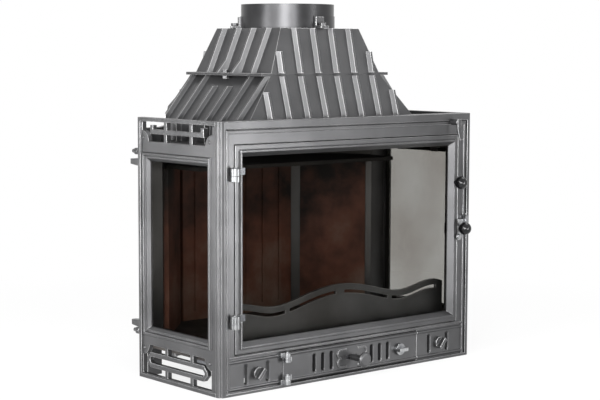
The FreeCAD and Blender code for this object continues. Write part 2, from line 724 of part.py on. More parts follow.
def ash_hinge_brackets():
    """Frame halves: each knuckle has a lug that steps back to the field beside the opening."""
    brackets = []
    for _, z in ash_knuckles():
        top = z + ASH_KNUCKLE
        foot = box(-ASH_OPEN - ASH_LUG, -ASH_OPEN, ASH_HINGE_Y / 2, FIELD_Y, z, top)
        arm = box(-ASH_OPEN - ASH_LUG / 2, ASH_HINGE_X, ASH_HINGE_Y, BEAD_Y - 2 * FIT, z, top)
        knuckle = rod(ASH_HINGE_X, ASH_HINGE_Y, z, Z_AXIS, ASH_KNUCKLE_R, ASH_KNUCKLE)
        bore = rod(ASH_HINGE_X, ASH_HINGE_Y, z, Z_AXIS, ASH_PIN_R, ASH_KNUCKLE)
        brackets.append(cut(fuse([knuckle, foot, arm]), [bore]))
    return Part.makeCompound(brackets)


def ash_hinge_pins():
    pins = []
    for split in ASH_SPLITS:
        z = split - ASH_KNUCKLE
        top = split + FIT + ASH_KNUCKLE + FIT
        shank = rod(ASH_HINGE_X, ASH_HINGE_Y, z, Z_AXIS, ASH_PIN_R, top - z)
        seat = vec(ASH_HINGE_X, ASH_HINGE_Y, top)
        head = Part.makeCone(ASH_PIN_R * 1.6, ASH_PIN_R, ASH_PIN_R, seat, Z_AXIS)
        pins.append(fuse([shank, head]))
    return Part.makeCompound(pins)


def slide_guides():
    """Two angle rails on the ash door's back that carry the air slide."""
    half_height = AIR_SLOT_H / 2 + 4.0
    lip_front = ASH_BACK + FIT + SLIDE_PLATE + FIT
    reach = SLIDE_HALF + SLIDE_TRAVEL
    rails = []
    for up in (-1, 1):
        near = PANEL_MID_Z + up * (half_height + FIT)
        far = PANEL_MID_Z + up * (half_height + GUIDE)
        inner = PANEL_MID_Z + up * (half_height - 3.0)
        web = box(-reach, reach, ASH_BACK, lip_front + 2.0, min(near, far), max(near, far))
        lip = box(-reach, reach, lip_front, lip_front + 2.0, min(inner, far), max(inner, far))
        rails.append(fuse([web, lip]))
    return Part.makeCompound(rails)


def air_slide():
    half_height = AIR_SLOT_H / 2 + 4.0
    front = ASH_BACK + FIT
    plate = box(-SLIDE_HALF, SLIDE_HALF, front, front + SLIDE_PLATE,
                PANEL_MID_Z - half_height, PANEL_MID_Z + half_height)
    cuts = [rod(0, front, PANEL_MID_Z, Y_AXIS, STEM_R, SLIDE_PLATE)]
    for side in (-1, 1):
        for x in AIR_SLOT_XS:
            back = front + SLIDE_PLATE
            cuts.append(upright_slot(side * x, PANEL_MID_Z, AIR_SLOT_W, AIR_SLOT_H, front, back))
    return cut(plate, cuts)


def slide_knob():
    """Mushroom knob: a dished disc on a stem that runs through the door to the slide."""
    back = ASH_BACK + FIT + SLIDE_PLATE
    front = SLIDE_KNOB_FRONT
    profile = [(0, front), (SLIDE_KNOB_R - 4, front), (SLIDE_KNOB_R, front + 3), (SLIDE_KNOB_R, front + 6),
               (STEM_R + 3, front + 13), (STEM_R + 2, FIELD_Y - 2), (STEM_R, FIELD_Y - 2),
               (STEM_R, back), (0, back)]
    outline = [vec(r, y, PANEL_MID_Z) for r, y in profile]
    face = Part.Face(Part.makePolygon(outline + outline[:1]))
    return face.revolve(vec(0, 0, PANEL_MID_Z), Y_AXIS, 360)


def turn_knob(x, turn):
    """Disc with a raised thumb bar, `turn` degrees from level, on the lower panel's middle line."""
    disc = rod(x, DISC_Y, PANEL_MID_Z, Y_AXIS, VALVE_KNOB_R, FIELD_Y - FIT - DISC_Y)
    low = PANEL_MID_Z - GRIP_HALF
    high = PANEL_MID_Z + GRIP_HALF
    bar = box(x - VALVE_KNOB_R, x + VALVE_KNOB_R, GRIP_Y, DISC_Y, low, high)
    bar = bar.common(rod(x, GRIP_Y, PANEL_MID_Z, Y_AXIS, VALVE_KNOB_R, DISC_Y - GRIP_Y))
    bar.rotate(vec(x, 0, PANEL_MID_Z), Y_AXIS, turn)
    return fuse([disc, bar])


def cam_front():
    return ASH_BACK + FIT + CAM_THICK


def ash_latch_knob():
    """Turn knob whose shaft carries the cam inside."""
    shaft = rod(CAM_X, DISC_Y, PANEL_MID_Z, Y_AXIS, CAM_SHAFT_R, cam_front() + CAM_THICK - DISC_Y)
    return fuse([shaft, turn_knob(CAM_X, 0)])


def ash_latch_cam():
    hub_front = ASH_BACK + FIT
    back = cam_front() + CAM_THICK
    hub = rod(CAM_X, hub_front, PANEL_MID_Z, Y_AXIS, CAM_SHAFT_R + CAM_THICK, back - hub_front)
    arm = box(CAM_X - CAM_HALF, CAM_X + CAM_HALF, cam_front(), back, PANEL_MID_Z, PANEL_MID_Z + CAM_REACH)
    bore = rod(CAM_X, hub_front, PANEL_MID_Z, Y_AXIS, CAM_SHAFT_R, back - hub_front)
    return cut(fuse([hub, arm]), [bore])


def ash_keeper():
    """Tongue on the ash box's wall, in front of the cam when that is turned across."""
    back = cam_front() - 2 * FIT
    left = CAM_X + CAM_REACH - TONGUE_LAP
    wall = BOX_HALF - BOX_SHEET
    low = PANEL_MID_Z - TONGUE_HALF
    high = PANEL_MID_Z + TONGUE_HALF
    tongue = box(left, wall, FIELD_BACK, back, low, high)
    foot = box(wall - TONGUE_FOOT, wall, FIELD_BACK, FIELD_BACK + TONGUE_LENGTH, low, high)
    return fuse([tongue, foot])


# Turning air valves in the lower panel

def valve_knob(side):
    x = side * VALVE_X
    back = FIELD_BACK + FIT + VALVE_PLATE
    shaft = rod(x, DISC_Y, PANEL_MID_Z, Y_AXIS, VALVE_SHAFT_R, back - DISC_Y)
    return fuse([shaft, turn_knob(x, GRIP_TURN - 90)])


def valve_shutter(side):
    """Bow-tie plate that clears both slots when upright and covers them when turned across."""
    x = side * VALVE_X
    y = FIELD_BACK + FIT
    plate = rod(x, y, PANEL_MID_Z, Y_AXIS, VALVE_R, VALVE_PLATE)
    reach = VALVE_R * 2
    rise = reach / math.tan(math.radians(VALVE_SPREAD))
    hub_r = VALVE_SHAFT_R + VALVE_HUB
    cuts = []
    for way in (-1, 1):
        wedge = [vec(x, y, PANEL_MID_Z), vec(x + way * reach, y, PANEL_MID_Z - rise),
                 vec(x + way * reach, y, PANEL_MID_Z + rise)]
        cuts.append(prism(wedge, vec(0, VALVE_PLATE, 0)))
    blade = plate.cut(Part.makeCompound(cuts)).fuse(rod(x, y, PANEL_MID_Z, Y_AXIS, hub_r, VALVE_PLATE))
    return cut(blade, [rod(x, y, PANEL_MID_Z, Y_AXIS, VALVE_SHAFT_R, VALVE_PLATE)])


# Glass-air control in the top rail

def wash_slot_xs():
    return [(number - WASH_COUNT / 2 + 0.5) * WASH_PITCH for number in range(WASH_COUNT)]


def air_wash_plate():
    z0 = FRAME_Z1 + 2.0
    z1 = BODY_HEIGHT - 2.0
    plate = box(-AIR_PLATE_HALF, AIR_PLATE_HALF, WALL_BACK, WALL_BACK + AIR_PLATE, z0, z1)
    return cut(plate, [upright_slot(x, LEVER_Z - WASH_DROP, WASH_W, WASH_H, WALL_BACK, WALL_BACK + AIR_PLATE)
                       for x in wash_slot_xs()])


def air_wash_shutter():
    back = WALL_BACK - FIT
    front = back - SHUTTER
    z0 = FRAME_Z1 + SURROUND_WALL + FIT
    z1 = BODY_HEIGHT - TOP_WALL - FIT
    plate = box(-SHUTTER_HALF, SHUTTER_HALF, front, back, z0, z1)
    slot_z = LEVER_Z - WASH_DROP
    return cut(plate, [upright_slot(x, slot_z, WASH_W, WASH_H, front, back) for x in wash_slot_xs()])


def fork_back():
    return WALL_BACK - FIT - SHUTTER


def shutter_fork():
    """U-shaped fork on the shutter's front face, open at the top, that the crank pin moves."""
    pin_z = LEVER_Z - CRANK_R
    inner = YOKE_PIN_R + YOKE_FIT
    outer = inner + FORK_PRONG
    bottom = FRAME_Z1 + SURROUND_WALL + FIT
    front = fork_back() - FORK
    block = box(LEVER_X - outer, LEVER_X + outer, front, fork_back(), bottom, pin_z + FORK_RISE)
    gap = box(LEVER_X - inner, LEVER_X + inner, front, fork_back(), pin_z - inner, pin_z + FORK_RISE)
    return block.cut(gap)


def air_wash_lever():
    """Shaft through the rail: a blade hangs from its front end, a crank pin moves the shutter."""
    crank_front = FIELD_BACK + FIT
    shaft = rod(LEVER_X, LEVER_FRONT, LEVER_Z, Y_AXIS, LEVER_SHAFT_R, crank_front + 4.0 - LEVER_FRONT)
    boss = rod(LEVER_X, LEVER_FRONT, LEVER_Z, Y_AXIS, LEVER_SHAFT_R + 2.5, -FIT - LEVER_FRONT)
    face = LEVER_FRONT - BLADE_THICK
    top = LEVER_Z + BLADE_TOP
    bend = LEVER_Z - BLADE_BEND
    tip = LEVER_Z - BLADE_LENGTH
    side = [(face, top), (LEVER_FRONT, top), (LEVER_FRONT, bend),
            (LEVER_FRONT - BLADE_KICK, tip), (face - BLADE_KICK, tip), (face, bend)]
    blade = prism([vec(LEVER_X - BLADE_HALF, y, z) for y, z in side], vec(2 * BLADE_HALF, 0, 0))
    web = box(LEVER_X - 4, LEVER_X + 4, crank_front, crank_front + 4, LEVER_Z - CRANK_R, LEVER_Z)
    pin = rod(LEVER_X, crank_front, LEVER_Z - CRANK_R, Y_AXIS, YOKE_PIN_R, fork_back() - FIT - crank_front)
    end = rod(LEVER_X, crank_front, LEVER_Z - CRANK_R, Y_AXIS, 4.0, 4.0)
    return fuse([shaft, boss, blade, web, pin, end])


# Side panels with their glass

def side_panel():
    """Left panel: moulded window frame between two openwork vents."""
    y0 = FIELD_BACK
    plate = box(-PANEL_OUT, -PANEL_IN, y0, SIDE_DEPTH, 0, BODY_HEIGHT)
    strips = [box(-HALF, -PANEL_OUT, SIDE_DEPTH - EDGE_STRIP, SIDE_DEPTH, 0, BODY_HEIGHT),
              box(-HALF, -PANEL_OUT, y0, SIDE_DEPTH, BODY_HEIGHT - EDGE_STRIP, BODY_HEIGHT),
              box(-HALF, -PANEL_OUT, y0, SIDE_DEPTH, 0, EDGE_STRIP)]
    ry0, ry1, rz0, rz1 = PANEL_RIDGE_Y0, PANEL_RIDGE_Y1, PANEL_RIDGE_Z0, PANEL_RIDGE_Z1
    taper = RIDGE_TAPER
    ridge = frustum_x(ry0 + taper, ry1 - taper, rz0 + taper, rz1 - taper, -HALF, -PANEL_OUT, taper)
    panel = fuse([plate, ridge] + strips + rear_lugs())
    stile = PANEL_STILE
    floor = -PANEL_IN - 4.0
    window = (ry0 + stile, ry1 - stile, rz0 + stile, rz1 - stile)
    step = -HALF + PANEL_STEP_DEPTH
    grow = stile - PANEL_RIDGE - RIDGE_TAPER
    recess = frustum_x(window[0] - grow, window[1] + grow, window[2] - grow, window[3] + grow,
                       step, -HALF, RIDGE_TAPER)
    hollow = frustum_x(*window, floor, step, grow - PANEL_STEP)
    through = box(floor, -PANEL_IN, window[0], window[1], window[2], window[3])
    panel = cut(panel, [recess, hollow, through, vent_opening(UPPER_VENT, -1), vent_opening(LOWER_VENT, 1)])
    return fuse([panel, upper_vent_bars(), lower_vent_bars()])


def rear_lugs():
    lugs = []
    for z in REAR_LUG_ZS:
        half = REAR_LUG_HALF
        slim = REAR_LUG_TAPER
        root = rect_wire(-HALF, -PANEL_IN, z - half, z + half, lambda a, b: vec(a, SIDE_DEPTH, b))
        tip = rect_wire(-HALF + slim, -PANEL_IN - slim, z - REAR_LUG_TIP, z + REAR_LUG_TIP,
                        lambda a, b: vec(a, SIDE_DEPTH + REAR_LUG, b))
        lugs.append(Part.makeLoft([root, tip], True, True))
    return lugs


def vent_opening(vent, round_up):
    """Opening with two corners filled by quarter rounds: the upper pair (1) or lower pair (-1)."""
    y0, y1, z0, z1 = vent
    hole = box(-HALF, -PANEL_IN, y0, y1, z0, z1)
    corner_z = z1 if round_up > 0 else z0
    thick = HALF - PANEL_IN
    rounds = [rod(-HALF, y, corner_z, X_AXIS, VENT_ROUND, thick) for y in (y0, y1)]
    return hole.cut(Part.makeCompound(rounds))


def upper_vent_bars():
    y0, y1, z0, z1 = UPPER_VENT
    mid = (z0 + z1) / 2
    bar_y0 = y0 + VENT_ROUND + VENT_BAR_GAP
    bar_y1 = y1 - VENT_ROUND - VENT_BAR_GAP
    half = VENT_BAR / 2
    bars = [box(-PANEL_OUT, -PANEL_IN, bar_y0, bar_y1, mid - half, mid + half)]
    for y in (bar_y0, bar_y1 - VENT_BAR):
        bars.append(box(-PANEL_OUT, -PANEL_IN, y, y + VENT_BAR, mid - half, mid + half + VENT_BAR))
    for y in VENT_POST_YS:
        bars.append(box(-PANEL_OUT, -PANEL_IN, y - half, y + half, z0, z1))
    return fuse(bars)


def lower_vent_bars():
    """Long eight-sided ring held by two posts above and two below."""
    y0, y1, z0, z1 = LOWER_VENT
    half = VENT_BAR / 2
    end = VENT_RING_GAP
    drop = VENT_RING_DROP
    ring = octagon_prism(y0 + end, y1 - end, z0 + drop, z1 - drop)
    end += VENT_BAR
    drop += VENT_BAR
    hole = octagon_prism(y0 + end, y1 - end, z0 + drop, z1 - drop)
    posts = [box(-PANEL_OUT, -PANEL_IN, y - half, y + half, z0, z1) for y in VENT_POST_YS]
    return cut(fuse([ring] + posts), [hole])


def octagon_prism(y0, y1, z0, z1):
    bevel = (z1 - z0) * 0.4
    corners = [(y0 + bevel, z0), (y1 - bevel, z0), (y1, z0 + bevel), (y1, z1 - bevel),
               (y1 - bevel, z1), (y0 + bevel, z1), (y0, z1 - bevel), (y0, z0 + bevel)]
    return prism([vec(-PANEL_OUT, y, z) for y, z in corners], vec(PANEL_OUT - PANEL_IN, 0, 0))


def side_pane_limits():
    lap = PANEL_STILE - GLASS_LAP
    return (PANEL_RIDGE_Y0 + lap, PANEL_RIDGE_Y1 - lap, PANEL_RIDGE_Z0 + lap, PANEL_RIDGE_Z1 - lap)


def side_glass():
    y0, y1, z0, z1 = side_pane_limits()
    inner = -PANEL_IN + TAPE
    return box(inner, inner + GLASS, y0, y1, z0, z1)


def side_glass_seal():
    y0, y1, z0, z1 = side_pane_limits()
    width = GLASS_LAP - 1
    ring = box(-PANEL_IN, -PANEL_IN + TAPE, y0, y1, z0, z1)
    return ring.cut(box(-PANEL_IN, -PANEL_IN + TAPE, y0 + width, y1 - width, z0 + width, z1 - width))


def side_glass_clips():
    """Stepped clips on the panel's inner face, two above and two below the pane."""
    y0, y1, z0, z1 = side_pane_limits()
    back = -PANEL_IN + TAPE + GLASS
    half = SIDE_CLIP_HALF
    foot = SIDE_CLIP_FOOT
    over = back + SIDE_CLIP
    clips = []
    for y in (y0 + (y1 - y0) / 4, y1 - (y1 - y0) / 4):
        low = box(-PANEL_IN, back, y - half, y + half, z0 - FIT - foot, z0 - FIT)
        clips.append(fuse([low, box(back, over, y - half, y + half, z0 - FIT - foot, z0 + GLASS_LAP)]))
        high = box(-PANEL_IN, back, y - half, y + half, z1 + FIT, z1 + FIT + foot)
        clips.append(fuse([high, box(back, over, y - half, y + half, z1 - GLASS_LAP, z1 + FIT + foot)]))
    return Part.makeCompound(clips)


def rear_clamp_bolts():
    """Studs with nuts on the side panels' rear edges."""
    bolts = []
    x = (HALF + PANEL_IN) / 2
    for z in REAR_BOLT_ZS:
        shank = rod(-x, SIDE_DEPTH, z, Y_AXIS, BOLT_R, REAR_BOLT)
        nut = hexagon(-x, SIDE_DEPTH + 4, z, Y_AXIS, HEX_R, HEX_H * 2)
        bolts.append(fuse([shank, nut]))
    return Part.makeCompound(bolts + [mirror(bolt) for bolt in bolts])


# Rear shell, hearth, deck and what stands in the fire space

def rear_shell():
    outer = rear_outline(0, PANEL_IN, SIDE_DEPTH - SHELL)
    inner = rear_outline(SHELL, PANEL_IN, SIDE_DEPTH - 2 * SHELL)
    walls = plan_prism(outer, 0, DECK_Z0).cut(plan_prism(inner, 0, DECK_Z0))
    gap_top = HEARTH_Z0 - SHELL_FOOT
    gaps = [box(-PANEL_IN + REAR_SHOULDER, -REAR_FLAT_HALF - SHELL_LEG, 0, REAR_Y, 0, gap_top)]
    gaps.append(mirror(gaps[0]))
    gaps.append(box(-REAR_FLAT_HALF + SHELL_LEG, REAR_FLAT_HALF - SHELL_LEG, 0, REAR_Y, 0, gap_top))
    half = SHELL_RIB / 2
    count = int((REAR_FLAT_HALF - SHELL_RIB_PITCH) / SHELL_RIB_PITCH)
    ribs = []
    for number in range(-count, count + 1):
        x = number * SHELL_RIB_PITCH
        ribs.append(box(x - half, x + half, REAR_Y, REAR_Y + SHELL_RIB, HEARTH_Z0, DECK_Z0 - SHELL_RIB_END))
    return fuse([cut(walls, gaps)] + ribs)


def hearth_plate():
    outline = rear_outline(SHELL + FIT, PANEL_IN - FIT, WALL_BACK + FIT)
    plate = plan_prism(outline, HEARTH_Z0, HEARTH_Z1)
    seat = HEARTH_Z1 - GRATE_THICK + GRATE_PROUD
    ledge = GRATE_LEDGE
    return cut(plate, [
        box(-GRATE_HALF, GRATE_HALF, GRATE_Y0, GRATE_Y1, seat, HEARTH_Z1),
        box(-GRATE_HALF + ledge, GRATE_HALF - ledge,
            GRATE_Y0 + ledge, GRATE_Y1 - ledge, HEARTH_Z0, HEARTH_Z1),
    ])


def fire_grate():
    seat = HEARTH_Z1 - GRATE_THICK + GRATE_PROUD
    gap = GRATE_PLAY
    plate = box(-GRATE_HALF + gap, GRATE_HALF - gap, GRATE_Y0 + gap, GRATE_Y1 - gap, seat, seat + GRATE_THICK)
    pitch = 2 * (GRATE_HALF - GRATE_SIDE) / (GRATE_SLOTS - 1)
    middle = (GRATE_Y0 + GRATE_Y1) / 2
    halves = ((GRATE_Y0 + GRATE_END, middle - GRATE_BAR_HALF),
              (middle + GRATE_BAR_HALF, GRATE_Y1 - GRATE_END))
    slots = []
    for number in range(GRATE_SLOTS):
        x = -GRATE_HALF + GRATE_SIDE + number * pitch
        for start, end in halves:
            slots.append(box(x - GRATE_SLOT_HALF, x + GRATE_SLOT_HALF, start, end, seat, seat + GRATE_THICK))
    return cut(plate, slots)


def top_deck():
    outline = rear_outline(0, PANEL_IN - FIT, WALL_BACK + FIT)
    plate = plan_prism(outline, DECK_Z0, DECK_Z1)
    top = DECK_Z1 + DECK_UPSTAND
    side = PANEL_IN - FIT
    wall = plan_prism(rear_outline(0, side, SIDE_DEPTH - 2 * DECK), DECK_Z0, top)
    wall = wall.cut(plan_prism(rear_outline(DECK, side, SIDE_DEPTH - 3 * DECK), DECK_Z0, top))
    clear = SKIRT_HALF_X + RIB_HEIGHT + DOOR_GAP
    wall = wall.cut(box(-clear, clear, 0, REAR_Y, DECK_Z1, top))
    return cut(fuse([plate, wall]), [hood_inside(DECK_Z0, DECK_Z1)])


def chamfer_line(inset):
    """X + Y on the angled rear wall, moved in by `inset`."""
    return REAR_FLAT_HALF + REAR_Y - inset * math.sqrt(2)


def back_liner():
    back = REAR_Y - SHELL
    half = chamfer_line(SHELL) - back - LINER_GAP
    face = back - LINER
    plate = box(-half, half, face, back, HEARTH_Z1, LINER_TOP)
    count = int(half / LINER_RIB_PITCH)
    ribs = []
    for number in range(-count, count):
        x = (number + 0.5) * LINER_RIB_PITCH
        ribs.append(box(x - LINER_RIB, x + LINER_RIB, face - LINER_RIB, face,
                        HEARTH_Z1 + LINER_RIB_END, LINER_TOP - LINER_RIB_END))
    return fuse([plate] + ribs)


def side_liner():
    """Left lining plate, on the angled rear wall."""
    line = chamfer_line(SHELL)
    step = LINER / math.sqrt(2)
    y0 = SIDE_DEPTH
    y1 = REAR_Y - SHELL - LINER - 6
    points = [(-line + y0, y0), (-line + y1, y1),
              (-line + y1 + step, y1 - step), (-line + y0 + step, y0 - step)]
    return plan_prism(points, HEARTH_Z1, LINER_TOP)


def baffle_plate():
    """Smoke baffle that lies on the linings' top edges."""
    line = chamfer_line(SHELL) - 2
    back = REAR_Y - SHELL - 1
    half = line - SIDE_DEPTH - 12
    right = [(half, BAFFLE_FRONT), (half, line - half), (line - back, back)]
    return plan_prism(right + [(-x, y) for x, y in reversed(right)], LINER_TOP, LINER_TOP + BAFFLE)


def guard_edge(drop):
    """Wavy top edge of the log guard, lowered by `drop`, as points from left to right."""
    crest = HEARTH_Z1 + GUARD_CREST
    right = [(0.0, crest)]
    for from_end, fall in GUARD_WAVE:
        right.append((GUARD_HALF - from_end, crest - fall))
    points = [(-x, z) for x, z in reversed(right)] + right[1:]
    return [vec(x, GUARD_Y, z - drop) for x, z in points]


def wave_band(top_drop, bottom_drop, x0, x1):
    """Part of the guard between two drops below its wavy edge, from x0 to x1."""
    upper = guard_below(top_drop)
    lower = guard_below(bottom_drop)
    window = box(x0, x1, GUARD_Y - 1, GUARD_Y + GUARD_THICK + 1, HEARTH_Z1, BODY_HEIGHT)
    return upper.cut(lower).common(window)


def guard_below(drop):
    edge = Part.BSplineCurve()
    points = guard_edge(drop)
    edge.interpolate(points)
    low_right = vec(points[-1].x, GUARD_Y, HEARTH_Z1)
    low_left = vec(points[0].x, GUARD_Y, HEARTH_Z1)
    sides = Part.makePolygon([points[-1], low_right, low_left, points[0]])
    face = Part.Face(Part.Wire([edge.toShape()] + sides.Edges))
    return face.extrude(vec(0, GUARD_THICK, 0))


def log_guard():
    guard = guard_below(0)
    near = GUARD_BRIDGE
    mid_in = near + GUARD_SLOT_LENGTH
    mid_out = mid_in + GUARD_BRIDGE
    far = GUARD_HALF - GUARD_SLOT_END
    slots = []
    for x0, x1 in ((-far, -mid_out), (-mid_in, -near), (near, mid_in), (mid_out, far)):
        slots.append(wave_band(GUARD_SLOT_DROP, GUARD_SLOT_DROP + GUARD_SLOT, x0, x1))
    back = GUARD_Y + GUARD_THICK
    half = GUARD_FOOT
    feet = [box(x - half, x + half, back, back + GUARD_FOOT_REACH, HEARTH_Z1, HEARTH_Z1 + GUARD_FOOT)
            for x in (-GUARD_FOOT_X, GUARD_FOOT_X)]
    return fuse([cut(guard, slots)] + feet)


def ash_box():
    """Open-topped, open-fronted sheet box on the floor, under the grate."""
    outer = box(-BOX_HALF, BOX_HALF, FIELD_BACK, BOX_BACK, 0, HEARTH_Z0)
    sheet = BOX_SHEET
    inner = box(-BOX_HALF + sheet, BOX_HALF - sheet, FIELD_BACK, BOX_BACK - sheet, sheet, HEARTH_Z0)
    return outer.cut(inner)


def ash_pan():
    front = FIELD_BACK + PAN_SETBACK
    back = BOX_BACK - PAN_REAR_GAP
    z0 = BOX_SHEET
    sheet = PAN_SHEET
    tray = box(-PAN_HALF, PAN_HALF, front, back, z0, z0 + PAN_HEIGHT)
    tray = tray.cut(box(-PAN_HALF + sheet, PAN_HALF - sheet, front + sheet, back - sheet,
                        z0 + sheet, z0 + PAN_HEIGHT))
    half = PAN_GRIP_HALF
    low = z0 + PAN_GRIP_Z
    high = low + PAN_GRIP_HEIGHT
    inner = half - PAN_GRIP_BAR
    hole = box(-inner, inner, front - PAN_GRIP_REACH + PAN_GRIP_BAR, front, low, high)
    grip = box(-half, half, front - PAN_GRIP_REACH, front, low, high).cut(hole)
    return fuse([tray, grip])


# Smoke hood

def hood_half(z):
    """Half width and half depth of the hood's outside at a height."""
    if z >= JOINT_Z:
        share = (z - JOINT_Z) / (HOOD_TOP - JOINT_Z)
        return (JOINT_HALF_X + share * (TOP_HALF_X - JOINT_HALF_X),
                JOINT_HALF_Y + share * (TOP_HALF_Y - JOINT_HALF_Y))
    share = max(0.0, (JOINT_Z - z) / (JOINT_Z - SKIRT_TOP))
    share = min(1.0, share)
    return (JOINT_HALF_X + share * (SKIRT_HALF_X - JOINT_HALF_X),
            JOINT_HALF_Y + share * (SKIRT_HALF_Y - JOINT_HALF_Y))


def hood_block(z0, z1, inset):
    """Tapered block of the hood between two heights, drawn in by `inset`."""
    wires = []
    for z in (z0, z1):
        half_x, half_y = hood_half(z)
        half_x -= inset
        half_y -= inset
        at_height = lambda a, b, z=z: vec(a, b, z)
        wires.append(rect_wire(-half_x, half_x, FLUE_Y - half_y, FLUE_Y + half_y, at_height))
    return Part.makeLoft(wires, True, True)


def rear_clip(inset, z0, z1):
    """Everything inside the angled rear corners."""
    line = chamfer_line(inset)
    far = WIDTH
    back = REAR_Y - inset
    right = [(far, -far), (far, line - far), (line - back, back)]
    return plan_prism(right + [(-x, y) for x, y in reversed(right)], z0, z1)


def hood_inside(z0, z1):
    return hood_block(z0, z1, HOOD_WALL).common(rear_clip(HOOD_WALL, z0, z1))


def hood_rib(face, place, z0, z1):
    """One tapered rib on a hood face: 'front', 'back', 'left' or 'right'."""
    sink = 2.0
    wires = []
    for z in (z0, z1):
        half_x, half_y = hood_half(z)
        section = [(-RIB_BASE / 2, -sink), (RIB_BASE / 2, -sink),
                   (RIB_CREST / 2, RIB_HEIGHT), (-RIB_CREST / 2, RIB_HEIGHT)]
        points = []
        for along, out in section + section[:1]:
            if face in ("front", "back"):
                way = -1 if face == "front" else 1
                points.append(vec(place + along, FLUE_Y + way * (half_y + out), z))
            else:
                way = -1 if face == "left" else 1
                points.append(vec(way * (half_x + out), FLUE_Y + place + along, z))
        wires.append(Part.makePolygon(points))
    return Part.makeLoft(wires, True, True)


def rib_top(place, half_at, z0, z1):
    """Highest level, from z0 to z1, at which a rib still lies inside its face."""
    need = abs(place) + RIB_BASE / 2
    low, high = half_at(z0), half_at(z1)
    if high >= need:
        return z1
    return z0 + (z1 - z0) * (low - need) / (low - high)


def hood_ribs(z0, z1, bolt_pocket):
    ribs = []
    for number in range(-4, 4):
        place = (number + 0.5) * RIB_PITCH
        across = rib_top(place, lambda z: hood_half(z)[0], z0, z1)
        if across - z0 > 12:
            ribs.append(hood_rib("front", place, z0, across))
            ribs.append(hood_rib("back", place, z0, across))
        along = rib_top(place, lambda z: hood_half(z)[1], z0, z1)
        if abs(place) < RIB_PITCH:
            along -= bolt_pocket
        if along - z0 > 12:
            ribs.append(hood_rib("left", place, z0, along))
            ribs.append(hood_rib("right", place, z0, along))
    return ribs


def skirt_ribs():
    """Upright ribs on the skirt's side faces, in line with those on the slope."""
    ribs = []
    for number in range(-3, 3):
        for face in ("left", "right"):
            ribs.append(hood_rib(face, (number + 0.5) * RIB_PITCH, DECK_Z1, SKIRT_TOP))
    return ribs


def flange_gussets():
    """Webs that widen the middle ribs down to the flange, one each side of the joint bolt."""
    z0 = JOINT_Z + FLANGE_THICK
    z1 = z0 + GUSSET_RISE
    outer = JOINT_HALF_X + HOOD_FLANGE - GUSSET_EDGE
    sink = HOOD_WALL / 2
    webs = []
    for place in (-RIB_PITCH / 2, RIB_PITCH / 2):
        y = FLUE_Y + place - GUSSET / 2
        corners = [vec(-outer, y, z0), vec(sink - hood_half(z0)[0], y, z0),
                   vec(sink - hood_half(z1)[0], y, z1)]
        webs.append(prism(corners, vec(0, GUSSET, 0)))
    return webs + [mirror(web) for web in webs]


def hood_flanges(z0, z1, bored):
    """Side flanges at the joint of the two castings, with one bolt hole each."""
    inner = JOINT_HALF_X - HOOD_WALL / 2
    outer = JOINT_HALF_X + HOOD_FLANGE
    left = box(-outer, -inner, FLUE_Y - JOINT_HALF_Y, FLUE_Y + JOINT_HALF_Y, z0, z1)
    hole = rod(-hood_bolt_x(), FLUE_Y, z0, Z_AXIS, BOLT_R + bored, z1 - z0)
    left = left.cut(hole)
    return [left, mirror(left)]


def hood_bolt_x():
    return JOINT_HALF_X + HOOD_FLANGE - HEX_R - 0.5


def lower_hood():
    outside = fuse([hood_block(DECK_Z1, SKIRT_TOP, 0), hood_block(SKIRT_TOP, JOINT_Z, 0)])
    inside = fuse([hood_block(DECK_Z1, SKIRT_TOP, HOOD_WALL), hood_block(SKIRT_TOP, JOINT_Z, HOOD_WALL)])
    inside = inside.common(rear_clip(HOOD_WALL, DECK_Z1, JOINT_Z))
    clip = rear_clip(0, DECK_Z1, JOINT_Z)
    shell = outside.common(clip).cut(inside)
    bars = hood_ribs(SKIRT_TOP, JOINT_Z - FLANGE_THICK, BOLT_POCKET) + skirt_ribs()
    ribs = [bar.common(clip) for bar in bars]
    return fuse([shell] + ribs + hood_flanges(JOINT_Z - FLANGE_THICK, JOINT_Z, FIT))


def upper_hood():
    inside = hood_block(JOINT_Z, HOOD_TOP - HOOD_WALL, HOOD_WALL)
    throat = rod(0, FLUE_Y, JOINT_Z, Z_AXIS, COLLAR_R - COLLAR_WALL, HOOD_TOP - JOINT_Z)
    shell = cut(hood_block(JOINT_Z, HOOD_TOP, 0), [inside, throat])
    ribs = hood_ribs(JOINT_Z + FLANGE_THICK, HOOD_TOP, 0.0) + flange_gussets()
    return fuse([shell] + ribs + hood_flanges(JOINT_Z, JOINT_Z + FLANGE_THICK, FIT))


def hood_bolts():
    """Hexagon bolts down through the side flanges."""
    top = JOINT_Z + FLANGE_THICK
    x = -hood_bolt_x()
    head = hexagon(x, FLUE_Y, top, Z_AXIS, HEX_R, HEX_H)
    length = 2 * FLANGE_THICK + HEX_H + 1.0
    shank = rod(x, FLUE_Y, top - length, Z_AXIS, BOLT_R, length)
    bolt = fuse([head, shank])
    return Part.makeCompound([bolt, mirror(bolt)])


def hood_nuts():
    x = -hood_bolt_x()
    nut = hexagon(x, FLUE_Y, JOINT_Z - FLANGE_THICK - HEX_H, Z_AXIS, HEX_R, HEX_H)
    nut = nut.cut(rod(x, FLUE_Y, JOINT_Z - FLANGE_THICK - HEX_H, Z_AXIS, BOLT_R, HEX_H))
    return Part.makeCompound([nut, mirror(nut)])


